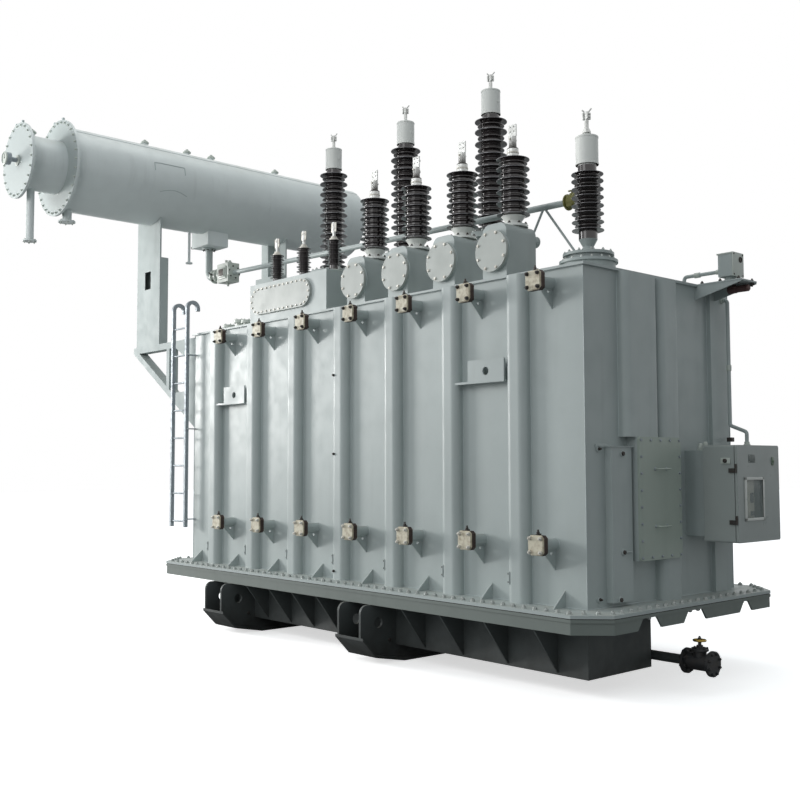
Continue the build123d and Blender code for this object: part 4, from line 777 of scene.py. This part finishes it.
# Bands and vent screws on the expansion caps
cap_bands = Shape()
for x in HV_X:
    cap_bands.turned((x, HV_Y, 5241.0), UP, band(96, 99, 16, 2), 40)
    cap_bands.turned((x, HV_Y, 5473.0), UP, band(96, 98.5, 12, 2), 40)
    cap_bands.turned((x + 97.0, HV_Y, 5360.0), RIGHT, button(9, 6, 6, 8), 12)
cap_bands.turned((*NEUTRAL, 4168.0), UP, band(92, 95, 15, 2), 40)
cap_bands.turned((*NEUTRAL, 4388.0), UP, band(92, 94.5, 12, 2), 40)
cap_bands.make("cap_bands", "tank", cap_paint)

# Conservator: bolts round its rims and pipe flanges, and the caps along its top
END_PLATES = ((-2211.0, 532.0, 32), (-2677.0, 402.0, 22))
RIM_THICKNESS = 30.0
PIPE_FLANGES = ((-2520.0, 63.0, 4336.0), (-2080.0, 80.0, 4626.0))
PIPE_FLANGE_THICKNESS = 18.0
CAP_SPOTS = [(y, 5790.0) for y in (-1084.0, -486.0, -125.0, 890.0)] + [(-2520.0, 5612.0)]
CAP = [(52, -22), (52, -8), (40, -8), (40, 0), (34, 10), (16, 14), (16, 26), (11, 28)]
rim_bolts = Shape()
for y, radius, count in END_PLATES:
    near_side = (CONSERVATOR_X, y, CONSERVATOR_Z)
    far_side = (CONSERVATOR_X, y + RIM_THICKNESS, CONSERVATOR_Z)
    bolt_ring(rim_bolts, near_side, FRONT, radius, count, COVER_NUT, stud=6.0)
    bolt_ring(rim_bolts, far_side, REAR, radius, count, COVER_NUT)
for y, radius, z in PIPE_FLANGES:
    under = (CONSERVATOR_X, y, z - PIPE_FLANGE_THICKNESS)
    bolt_ring(rim_bolts, (CONSERVATOR_X, y, z), UP, radius, 6, PIPE_NUT)
    bolt_ring(rim_bolts, under, DOWN, radius, 6, PIPE_NUT, stud=5.0)
for y, z in CAP_SPOTS:
    rim_bolts.turned((CONSERVATOR_X, y, z), UP, CAP, 24)
    bolt_ring(rim_bolts, (CONSERVATOR_X, y, z - 8.0), UP, 45.0, 4, CAP_NUT, washer=False)
rim_bolts.make("conservator_bolts", "tank", relay_paint)


def on_shell(y, degrees, lift=0.0):
    """A point on the conservator's shell, at an angle up from its right side."""
    angle = math.radians(degrees)
    reach = CONSERVATOR_RADIUS + lift
    return (CONSERVATOR_X + reach * math.cos(angle), y, CONSERVATOR_Z + reach * math.sin(angle))


# Conservator: its long seam, the hatch's outline, the arc over a lug and the rims' lifting lugs
SHELL_START_Y = -2181.0
SHELL_LENGTH = 4291.0
HATCH_Y = (-1190.0, -780.0)
HATCH_DEGREES = (8.0, 21.0)
HATCH_STEP_Y = 82.0
RIM_LUGS = ((-2196.0, 564.0), (-2662.0, 434.0))
RIM_LUG_DEGREES = (78.0, 102.0)
seams = Shape()
seam = [on_shell(SHELL_START_Y + SHELL_LENGTH * step / 6, 52.0) for step in range(7)]
seams.tube(seam, 4.0, 6)
hatch = [on_shell(HATCH_Y[0], HATCH_DEGREES[0] + 3 * step) for step in range(5)]
hatch += [on_shell(HATCH_Y[0] + HATCH_STEP_Y * step, HATCH_DEGREES[1]) for step in range(1, 6)]
hatch += [on_shell(HATCH_Y[1], HATCH_DEGREES[1] - 3 * step) for step in range(1, 5)]
seams.tube(hatch, 6.0, 6)
arc = [
    on_shell(-1110.0 + 46.0 * step, -21.0 + 5.0 * math.sin(math.pi * step / 8))
    for step in range(9)
]
seams.tube(arc, 5.0, 6)
for (y, radius), degrees in product(RIM_LUGS, RIM_LUG_DEGREES):
    angle = math.radians(degrees)
    x = CONSERVATOR_X + radius * math.cos(angle)
    z = CONSERVATOR_Z + radius * math.sin(angle)
    seams.box((x - 16, x + 16), (y - 13, y + 13), (z - 16, z + 26), 4.0)
seams.make("conservator_seams", "tank", weld_paint)

# Level gauge: bezel, dial and hand
GAUGE_SEAT_Y = -2677.0
GAUGE_FACE_Y = -2827.0
BEZEL = [(70, -8), (74, -4), (74, 8), (66, 12), (62, 8), (62, 3)]
gauge_seat = (CONSERVATOR_X, GAUGE_SEAT_Y, CONSERVATOR_Z)
gauge_face = (CONSERVATOR_X, GAUGE_FACE_Y, CONSERVATOR_Z)
gauge = Shape()
gauge.turned(gauge_face, FRONT, BEZEL, 40)
bolt_ring(gauge, gauge_seat, FRONT, 44.0, 6, GAUGE_NUT, stud=4.0)
gauge.turned(gauge_seat, FRONT, button(62, 12, 56, 14), 32)
gauge.make("gauge_bezel", "tank", relay_paint)
dial = Shape()
dial.turned(gauge_face, FRONT, rod(62, 2.5), 40)
dial.make("gauge_dial", "tank", cream)
hand = Shape()
hand_x = (CONSERVATOR_X - 3, CONSERVATOR_X + 3)
hand_z = (CONSERVATOR_Z - 10, CONSERVATOR_Z + 48)
hand.box(hand_x, (GAUGE_FACE_Y - 6.0, GAUGE_FACE_Y - 3.5), hand_z, 0.8)
hand.turned((CONSERVATOR_X, GAUGE_FACE_Y - 2.0, CONSERVATOR_Z), FRONT, rod(7, 6), 16)
hand.make("gauge_hand", "tank", dark_bolt)

# Relay and shut-off valve of the gas pipe: covers, cocks, handles and flange bolts
RELAY_Z = 4192.8
HEADER_Y = -85.0
RELAY_FLANGES = ((-3890.0, RIGHT), (-3740.0, LEFT), (-3450.0, RIGHT))
RELAY_TOP_Z = 4312.0
SHUT_OFF_X = -3815.0
TEST_COCK = [(24, 0), (24, 20), (15, 22), (15, 46), (20, 48), (20, 58)]
GAS_COCK = [(30, 0), (30, 26), (18, 30), (18, 44)]
DRAIN_PLUG = [(22, 0), (22, 22), (14, 24), (14, 44)]
HANDLE_KNOB = [(20, 0), (24, 8), (24, 22), (18, 30)]
SHUT_OFF_HANDLE = ((0, -88, 0), (0, -132, 6), (45, -176, 14))
HEADER_HANDLE = ((-4120, -60, 4600), (-4205, -110, 4612), (-4262, -128, 4612))
relay = Shape()
relay_dark = Shape()
for x, axis in RELAY_FLANGES:
    bolt_ring(relay_dark, (x, HEADER_Y, RELAY_Z), axis, 76.0, 6, PIPE_NUT, stud=5.0)
relay.box((-3686.0, -3504.0), (-182.0, -170.0), (4112.0, 4272.0), 3.0)
relay.box((-3660.0, -3530.0), (-196.0, -182.0), (4134.0, 4250.0), 3.0)
relay.turned((-3640.0, HEADER_Y, RELAY_TOP_Z), UP, TEST_COCK, 16)
relay.turned((-3560.0, HEADER_Y, RELAY_TOP_Z), UP, GAS_COCK, 16)
relay.turned((-3595.0, HEADER_Y, 4073.0), DOWN, DRAIN_PLUG, 16)
relay.turned((SHUT_OFF_X, HEADER_Y, RELAY_Z), RIGHT, band(86, 90, 32, 3, -16), 36)
relay.make("relay_covers", "tank", relay_paint)
relay_dark.box((-3646.0, -3544.0), (-199.0, -196.0), (4148.0, 4236.0), 1.0)
handle = [(SHUT_OFF_X + dx, HEADER_Y + dy, RELAY_Z + dz) for dx, dy, dz in SHUT_OFF_HANDLE]
relay_dark.tube(handle, 8.0, 10)
bolt_ring(relay_dark, (-4060.0, HEADER_Y, 4568.0), DOWN, 76.0, 8, PIPE_NUT, stud=5.0)
relay_dark.tube([(x, HEADER_Y + dy, z) for x, dy, z in HEADER_HANDLE], 9.0, 10)
relay_dark.turned((-4262, HEADER_Y - 128, 4598), UP, HANDLE_KNOB, 16)
relay_dark.make("relay_bolts", "tank", dark_bolt)

# Shut-off valve at the header pipe's near end
HEADER_VALVE_X = 1983.0
VALVE_BONNET = [(26, 0), (26, 18), (12, 22), (12, 44)]
header_valve = Shape()
for x in (1926.0, 2024.0):
    header_valve.turned((x, HEADER_Y, 4038.0), RIGHT, band(68, 72, 16, 3), 32)
header_valve.box((1950.0, 2016.0), (HEADER_Y - 52, HEADER_Y + 52), (3984.0, 4092.0), 8.0)
header_valve.turned((HEADER_VALVE_X, HEADER_Y, 4090.0), UP, VALVE_BONNET, 20)
header_valve.box((1940.0, 2044.0), (HEADER_Y - 9, HEADER_Y + 9), (4130.0, 4142.0), 3.0)
header_valve.make("header_valve", "tank", olive)

# Small plates on the stiffeners' slanted flanks, each with two screws
POCKET_TURN = math.radians(39.0)
POCKET_REACH = 60.0
POCKET_SHIFT_X = -38.0
POCKET_Y = 1041.0
POCKET_Z = 848.0
POCKET_CORNERS = ((-19, -48), (19, -48), (19, 48), (-19, 48))
POCKET_THICKNESS = 10.0
POCKET_SCREWS = (-32.0, 32.0)
wall_pads = Shape()
wall_studs = Shape()
for stub, side in product(STUB_X, SIDES):
    slant_x = math.sin(POCKET_TURN)
    slant_y = math.cos(POCKET_TURN)
    middle_x = stub + STIFFENER_SHIFT + POCKET_SHIFT_X - POCKET_REACH * slant_x
    centre = Vector((middle_x, side * (POCKET_Y + POCKET_REACH * slant_y), POCKET_Z))
    along = Vector((slant_y, side * slant_x, 0.0))
    out = Vector((-slant_x, side * slant_y, 0.0))
    ring_low = [centre + along * a + Vector((0, 0, b)) for a, b in POCKET_CORNERS]
    ring_high = [spot + out * POCKET_THICKNESS for spot in ring_low]
    wall_pads.loft([ring_low, ring_high] if side < 0 else [ring_high, ring_low])
    for dz in POCKET_SCREWS:
        seat = centre + out * POCKET_THICKNESS + Vector((0, 0, dz))
        wall_studs.nut(seat, out, POCKET_NUT, washer=False, height=5.0)

# Studs on the front wall, and pads with studs on the right end wall and the access frame
FRONT_STUDS = ((-105.0, 2591.0), (-100.0, 1841.0), (-97.0, 740.0))
END_PADS = ((-878.0, 727.0), (-866.0, 1850.0))
FRAME_PADS = ((-650.0, 1068.0), (-650.0, 1815.0), (-700.0, 716.0))
FRONT_STUD_Y = -1101.0
END_PAD_FACE_X = HALF_LENGTH + 12.0
FRAME_FACE_X = 2872.0
for x, z in FRONT_STUDS:
    wall_studs.nut((x, FRONT_STUD_Y, z), FRONT, COVER_NUT, stud=8.0)
for y, z in END_PADS:
    wall_pads.turned((HALF_LENGTH, y, z), RIGHT, button(24, 10, 21, 12), 24)
    wall_studs.nut((END_PAD_FACE_X, y, z), RIGHT, DRAIN_NUT, stud=12.0)
wall_pads.box((HALF_LENGTH, END_PAD_FACE_X), (-900.0, -756.0), (1862.0, 1890.0), 3.0)
for y, z in FRAME_PADS:
    wall_pads.turned((FRAME_FACE_X, y, z), RIGHT, button(26, 7, 22, 9), 24)
    wall_studs.nut((FRAME_FACE_X + 9.0, y, z), RIGHT, PLUG_NUT, washer=False, height=12.0)
pipe = [(2878.0, -640.0, 1068.0), (2882.0, -600.0, 1068.0), (2882.0, -548.0, 1066.0)]
wall_pads.tube(pipe, 7.0, 10)
wall_pads.make("wall_pads", "tank", tank_paint)
wall_studs.make("wall_studs", "tank", dark_bolt)

# Weld beads along the stiffeners, the walls' edges and the small plates
BEAD = 5.0
WIDE_BEAD = 6.0
CORNER_BEAD = 4.0
BEAD_LIFT = 2.0
STIFFENER_HALF_WIDTH = 100.0
END_WALL_BEADS = (
    (-600.0, 1946.0), (-165.0, 1946.0), (671.0, FLANGE_TOP_Z), (911.0, FLANGE_TOP_Z),
)
LV_NECK_Y = -863.0
TURRET_FEET = [(x, HV_Y, 233.0) for x in HV_X] + [(*NEUTRAL, 217.0)]
welds = Shape()


def bead(start, end, radius=BEAD):
    """A straight weld."""
    welds.tube([start, end], radius, 6)


def upright_bead(x, y, low, radius=BEAD):
    """A weld from a height to the wall's top."""
    bead((x, y, low), (x, y, WALL_TOP_Z), radius)


def round_bead(centre, axis, reach, sides, radius=BEAD):
    """A weld round a neck."""
    welds.tube(circle(centre, axis, reach, sides), radius, 6, closed=True)


for stub, side in product(STUB_X, SIDES):
    wall_y = side * HALF_WIDTH
    for dx in (-STIFFENER_HALF_WIDTH, STIFFENER_HALF_WIDTH):
        upright_bead(stub + STIFFENER_SHIFT + dx, wall_y, FLANGE_TOP_Z)
    for z in STUB_Z:
        round_bead((stub, wall_y, z), REAR, 46.0, 24)
foot_z = FLANGE_TOP_Z + BEAD_LIFT
head_z = WALL_TOP_Z - BEAD_LIFT
for side in SIDES:
    wall_y = side * HALF_WIDTH
    bead((-HALF_LENGTH, wall_y, foot_z), (HALF_LENGTH, wall_y, foot_z), WIDE_BEAD)
    bead((-HALF_LENGTH, wall_y, head_z), (HALF_LENGTH, wall_y, head_z))
    for end in SIDES:
        upright_bead(end * HALF_LENGTH, wall_y, FLANGE_TOP_Z, CORNER_BEAD)
for end in SIDES:
    wall_x = end * HALF_LENGTH
    bead((wall_x, -HALF_WIDTH, foot_z), (wall_x, HALF_WIDTH, foot_z), WIDE_BEAD)
for y, z in END_WALL_BEADS:
    upright_bead(HALF_LENGTH, y, z)
for x in LV_X:
    round_bead((x, LV_NECK_Y, LV_COVER_Z), REAR, 169.0, 48)
for x, y, radius in TURRET_FEET:
    round_bead((x, y, COVER_Z + 1), UP, radius, 48, WIDE_BEAD)
welds.make("weld_beads", "tank", weld_paint)

# Access panel: bolts round its edge and screws between its handles
PANEL_X = 2926.0
PANEL_Y = (-478.0, 42.0)
PANEL_Z = (1016.0, 1922.0)
panel_corners = [
    (PANEL_X, PANEL_Y[0], PANEL_Z[1]), (PANEL_X, PANEL_Y[1], PANEL_Z[1]),
    (PANEL_X, PANEL_Y[1], PANEL_Z[0]), (PANEL_X, PANEL_Y[0], PANEL_Z[0]),
    (PANEL_X, PANEL_Y[0], PANEL_Z[1]),
]
panel_bolts = Shape()
bolt_rows(panel_bolts, panel_corners, 133.0, RIGHT, PANEL_NUT, height=8.0)
for z, y in product((1250.0, 1697.0), (-293.0, -143.0)):
    panel_bolts.turned((PANEL_X, y, z), RIGHT, button(14, 3, 10, 5), 16)
panel_bolts.make("panel_bolts", "tank", galvanised)

# Junction box: lid, plugged socket, screws and conduit couplings
BOX_FACE_X = 3150.0
BOX_LID_Y = (545.0, 716.0)
SOCKET = [(30, -2), (30, 14), (26, 18), (24, 40), (20, 42), (20, 58)]
ELBOW_NUT = [(28, 0), (28, 14), (22, 18), (22, 36)]
LOCK = [(24, 0), (24, 6), (18, 8), (18, 4)]
GLAND_BODY = [(30, -130), (34, -126), (34, -60), (30, -56), (30, 50), (24, 58), (12, 62)]
box_lid = Shape()
box_lid.box((3139.0, BOX_FACE_X), BOX_LID_Y, (3294.0, 3498.0), 4.0)
box_lid.box((2996.0, 3145.0), BOX_LID_Y, (3486.0, 3498.0), 4.0)
box_lid.turned((3002.0, 630.5, 3360.0), LEFT, SOCKET, 24)
box_lid.turned((2760.0, 630.5, 3360.0), RIGHT, band(21, 23, 52, 2, -26), 24)
box_lid.turned((2850.0, 852.0, 3150.0), RIGHT, ELBOW_NUT, 24)
box_lid.turned((3063.0, 852.0, 1886.0), UP, ELBOW_NUT, 24)
box_lid.turned((2910.0, 852.0, 2560.0), UP, band(20, 22, 48, 2, -24), 24)
box_lid.make("junction_lid", "tank", relay_paint)
box_dark = Shape()
box_dark.turned((BOX_FACE_X, 661.0, 3440.0), RIGHT, LOCK, 24)
for y, z in product((560.0, 701.0), (3310.0, 3482.0)):
    box_dark.turned((BOX_FACE_X, y, z), RIGHT, button(7, 3, 4, 5), 12)
for y, x in product((524.0, 736.0), (2870.0, 3040.0, 3210.0)):
    box_dark.nut((x, y, 3257.0), UP, SHELF_NUT, stud=10.0)
    box_dark.nut((x, y, 3245.0), DOWN, SHELF_NUT, stud=16.0)
box_dark.make("shelf_bolts", "tank", dark_bolt)
shelf_gland = Shape()
shelf_gland.turned((3150.0, 690.0, 3203.0), RIGHT, GLAND_BODY, 24)
shelf_gland.box((3060.0, 3076.0), (672.0, 708.0), (3203.0, 3246.0), 2.0)
shelf_gland.make("shelf_gland", "tank", red_brown)

# Cabinet door: window frame, bare plate, latch, rivets and seal
FACE_X = 3311.0
BAR_FACE_X = FACE_X + 11.0
PLATE_FACE_X = FACE_X + 2.5
LATCH_FACE_X = FACE_X + 8.0
DOOR_Y = (278.0, 896.0)
DOOR_Z = (1128.0, 1867.0)
window_bars = Shape()
four_bars(window_bars, (FACE_X, BAR_FACE_X), (358.0, 654.0), (1282.0, 1628.0), 22.0, 2.5)
window_bars.make("window_frame", "door", white_frame)
plate = Shape()
plate.box((FACE_X, PLATE_FACE_X), (430.0, 532.0), (1745.0, 1810.0), 0.8)
plate.make("cabinet_plate", "door", plate_face)
latch = Shape()
latch.box((FACE_X, LATCH_FACE_X), (790.0, 820.0), (1722.0, 1790.0), 3.0)
latch.turned((LATCH_FACE_X, 805.0, 1756.0), RIGHT, button(11, 6, 8, 9), 20)
latch.make("cabinet_latch", "door", label_green)
rivets = Shape()
for y, z in product((437.0, 525.0), (1752.0, 1803.0)):
    rivets.turned((PLATE_FACE_X, y, z), RIGHT, [(3.5, 0), (3.0, 1.5), (1.5, 2.4)], 10)
for y, z in product((369.0, 643.0), (1293.0, 1455.0, 1617.0)):
    rivets.turned((BAR_FACE_X, y, z), RIGHT, [(4.5, 0), (4.0, 2), (2, 3)], 10)
rivets.make("cabinet_rivets", "door", zinc)
seal = Shape()
four_bars(seal, (3289.0, 3294.0), DOOR_Y, DOOR_Z, 10.0, 1.5)
seal.make("door_seal", "door", rubber)

# Inside the cabinet: a plate close behind the pane, the rear plate and plain devices on both
PANE_PLATE_X = 3256.0
REAR_PLATE_X = 3024.0
TERMINAL_PITCH = 34.0
inside = Shape()
inside.box((3252.0, PANE_PLATE_X), (292.0, 604.0), (1190.0, 1806.0), 1.0)
for z in (1300.0, 1420.0, 1540.0):
    inside.turned((PANE_PLATE_X, 450.0, z), RIGHT, button(30, 8, 26, 10), 24)
inside.box((3020.0, REAR_PLATE_X), (300.0, 874.0), (1150.0, 1845.0), 1.0)
inside.make("mounting_plate", "tank", cream)
devices = Shape()
for z, step in product((1330.0, 1620.0), range(12)):
    y = 340.0 + TERMINAL_PITCH * step
    devices.box((REAR_PLATE_X, 3074.0), (y, y + 30.0), (z, z + 62.0), 3.0)
devices.box((REAR_PLATE_X, 3110.0), (380.0, 560.0), (1430.0, 1570.0), 4.0)
devices.make("terminal_rows", "tank", cap_paint)
dark_gear = Shape()
dark_gear.box((PANE_PLATE_X, 3266.0), (540.0, 586.0), (1318.0, 1352.0), 2.0)
dark_gear.box((PANE_PLATE_X, 3262.0), (540.0, 586.0), (1420.0, 1500.0), 2.0)
dark_gear.box((REAR_PLATE_X, 3130.0), (590.0, 720.0), (1400.0, 1580.0), 5.0)
dark_gear.box((REAR_PLATE_X, 3100.0), (330.0, 700.0), (1215.0, 1262.0), 4.0)
dark_gear.turned((3110.0, 470.0, 1500.0), RIGHT, button(24, 14, 20, 18), 24)
dark_gear.make("cabinet_devices", "tank", cast_black)

# Outside the cabinet: glands in its top, the hasp on its side, clips and bolts behind it
GLAND_X = 2940.0
HOUSING_TOP_Z = 1845.0
HASP_FACE_Y = 250.0
glands = Shape()
for y, size in ((330.0, 1.0), (405.0, 1.25)):
    gland = [(22 * size, 0), (22 * size, 14), (17 * size, 18), (17 * size, 44), (12 * size, 52 * size)]
    glands.turned((GLAND_X, y, HOUSING_TOP_Z), UP, rod(26 * size, 10), 6)
    glands.turned((GLAND_X, y, HOUSING_TOP_Z + 10), UP, gland, 20)
glands.box((3168.0, 3252.0), (HASP_FACE_Y, 262.0), (1736.0, 1784.0), 4.0)
glands.make("cabinet_glands", "tank", relay_paint)
clips = Shape()
clips.box((2888.0, 2932.0), (826.0, 878.0), (1925.0, 1962.0), 4.0)
clips.turned((3210.0, HASP_FACE_Y, 1760.0), FRONT, button(17, 10, 12, 16), 20)
for y, z in product((330.0, 844.0), (1180.0, 1815.0)):
    clips.nut((2996.0, y, z), LEFT, COVER_NUT, stud=8.0)
clips.make("cabinet_clips", "tank", dark_bolt)

# Drain valve: bolts on both faces of its flanges, bonnet bolts and packing nut
DRAIN_X = 3213.0
DRAIN_Y = -175.0
DRAIN_Z = 234.0
DRAIN_FACES = ((3093.0, LEFT), (3115.0, RIGHT), (3311.0, LEFT), (3333.0, RIGHT))
BONNET_Z = 318.0
drain_bolts = Shape()
for x, axis in DRAIN_FACES:
    face = (x, DRAIN_Y, DRAIN_Z)
    bolt_ring(drain_bolts, face, axis, 78.0, 8, DRAIN_NUT, HALF_STEP, stud=4.0)
drain_bolts.turned((DRAIN_X, DRAIN_Y, BONNET_Z), UP, band(62, 66, 18, 3), 32)
bonnet_top = (DRAIN_X, DRAIN_Y, BONNET_Z + 18.0)
bolt_ring(drain_bolts, bonnet_top, UP, 56.0, 6, GAUGE_NUT, stud=4.0)
drain_bolts.turned((DRAIN_X, DRAIN_Y, 345.0), UP, button(26, 16, 18, 20), 6)
drain_bolts.make("drain_bolts", "tank", cast_black)
stem_nut = Shape()
stem_nut.nut((DRAIN_X, DRAIN_Y, 409.0), UP, COVER_NUT, height=9.0)
stem_nut.make("stem_nut", "tank", dark_bolt)

# Bolts in the haulage skids' tie holes, and nuts on the ladder's ties
SKID_X = (-1711.0, 524.0)
WEB_SHIFTS = (-150.0, 150.0)
TIE_HOLE_Y = 1095.0
TIE_HOLE_Z = 196.0
WEB_HALF_GRIP = 12.0
tie_head = button(18, 8, 14, 12)
ties = Shape()
for skid, side, web in product(SKID_X, SIDES, WEB_SHIFTS):
    x = skid + web
    hole = (side * TIE_HOLE_Y, TIE_HOLE_Z)
    ties.turned((x - 16.0, *hole), RIGHT, rod(13, 32), 16)
    ties.turned((x + WEB_HALF_GRIP, *hole), RIGHT, tie_head, 6)
    ties.turned((x - WEB_HALF_GRIP, *hole), LEFT, tie_head, 6)
for z in (1120.0, 2150.0, 3000.0):
    ties.nut((-2822.0, -1128.0, z + 12.0), UP, PANEL_NUT, stud=6.0)
ties.make("tie_bolts", "tank", dark_bolt)

# Small closed flanges that stand on the cover beside the ladder
COVER_STUBS = ((-2275.0, 58.0), (-2050.0, 92.0), (-1900.0, 74.0))
COVER_STUB_Y = -900.0
stubs = Shape()
for x, height in COVER_STUBS:
    seat = height - 34
    rim = height - 18
    profile = [(44, 0), (44, seat), (72, seat), (72, rim), (68, rim), (68, height)]
    stubs.turned((x, COVER_STUB_Y, COVER_Z), UP, profile, 28)
    top = (x, COVER_STUB_Y, COVER_Z + height)
    bolt_ring(stubs, top, UP, 54.0, 6, GAUGE_NUT, stud=4.0)
stubs.make("cover_stubs", "tank", relay_paint)

# Floor: pale to the camera, duller to other rays so that it throws little light back
FLOOR_REACH = 60.0
FLOOR_TONE = (0.3, 0.3, 0.3, 1.0)
FLOOR_GLOW = 0.62
floor_mesh = bpy.data.meshes.new("floor")
floor_corners = [
    (-FLOOR_REACH, -FLOOR_REACH, 0), (FLOOR_REACH, -FLOOR_REACH, 0),
    (FLOOR_REACH, FLOOR_REACH, 0), (-FLOOR_REACH, FLOOR_REACH, 0),
]
floor_mesh.from_pydata(floor_corners, [], [(0, 1, 2, 3)])
floor = bpy.data.objects.new("floor", floor_mesh)
bpy.context.scene.collection.objects.link(floor)
ground = MaterialNodes("floor")
seen = ground.new("ShaderNodeLightPath").outputs["Is Camera Ray"]
ground.set(ground.shader, {
    "Base Color": ground.mix(seen, FLOOR_TONE, WHITE),
    "Roughness": 0.9,
    "Emission Strength": ground.math("MULTIPLY", seen, FLOOR_GLOW),
    "Emission Color": WHITE,
})
floor_mesh.materials.append(ground.material)

# World: soft light that is stronger from one side, white to the camera and in reflections
SKY_TONE = (0.90, 0.97, 1.0, 1.0)
SKY_BRIGHT_SIDE = (-0.75, -0.15, 0.64)
SKY_STRENGTH = (0.28, 0.60)
world = bpy.data.worlds.new("studio")
bpy.context.scene.world = world
sky = Nodes(world)
sky_side = sky.new("ShaderNodeTexCoord").outputs["Generated"]
facing = sky.new("ShaderNodeVectorMath", {0: sky_side, 1: SKY_BRIGHT_SIDE}, operation="DOT_PRODUCT")
strength = sky.ramp(facing.outputs["Value"], -1.0, 1.0, *SKY_STRENGTH)
sky_light = sky.tree.nodes["Background"]
sky.set(sky_light, {"Color": SKY_TONE, "Strength": strength})
sky_white = sky.new("ShaderNodeBackground", {"Color": WHITE})
rays = sky.new("ShaderNodeLightPath").outputs
white_share = rays["Is Camera Ray"]
for ray in ("Is Glossy Ray", "Is Transmission Ray"):
    white_share = sky.math("MAXIMUM", white_share, rays[ray])
ends = {1: sky_light.outputs["Background"], 2: sky_white.outputs["Background"]}
blend = sky.new("ShaderNodeMixShader", {"Fac": white_share, **ends})
sky.set(sky.tree.nodes["World Output"], {"Surface": blend.outputs["Shader"]})


def lamp(name, spot, aim, size, energy, colour=(1.0, 1.0, 1.0)):
    """A square lamp at a spot, turned to the place it lights."""
    data = bpy.data.lights.new(name, "AREA")
    data.size = size
    data.energy = energy
    data.color = colour
    light = bpy.data.objects.new(name, data)
    bpy.context.scene.collection.objects.link(light)
    light.location = place(spot)
    light.rotation_euler = (place(aim) - place(spot)).to_track_quat("-Z", "Y").to_euler()
    light.visible_camera = False


lamp("key", (-16000, -7800, 4200), (-600, -600, 2400), 3.5, 1600, (1.0, 0.99, 0.97))
lamp("plates", (-5600, -7200, 5700), (-3970, -2400, 5000), 2.5, 150)
lamp("top", (-3200, 300, 12500), (-2500, 0, 3000), 6.0, 235, (0.98, 1.0, 0.97))
lamp("fill", (2000, -9000, 6200), (-2800, 0, 4300), 5.0, 150)
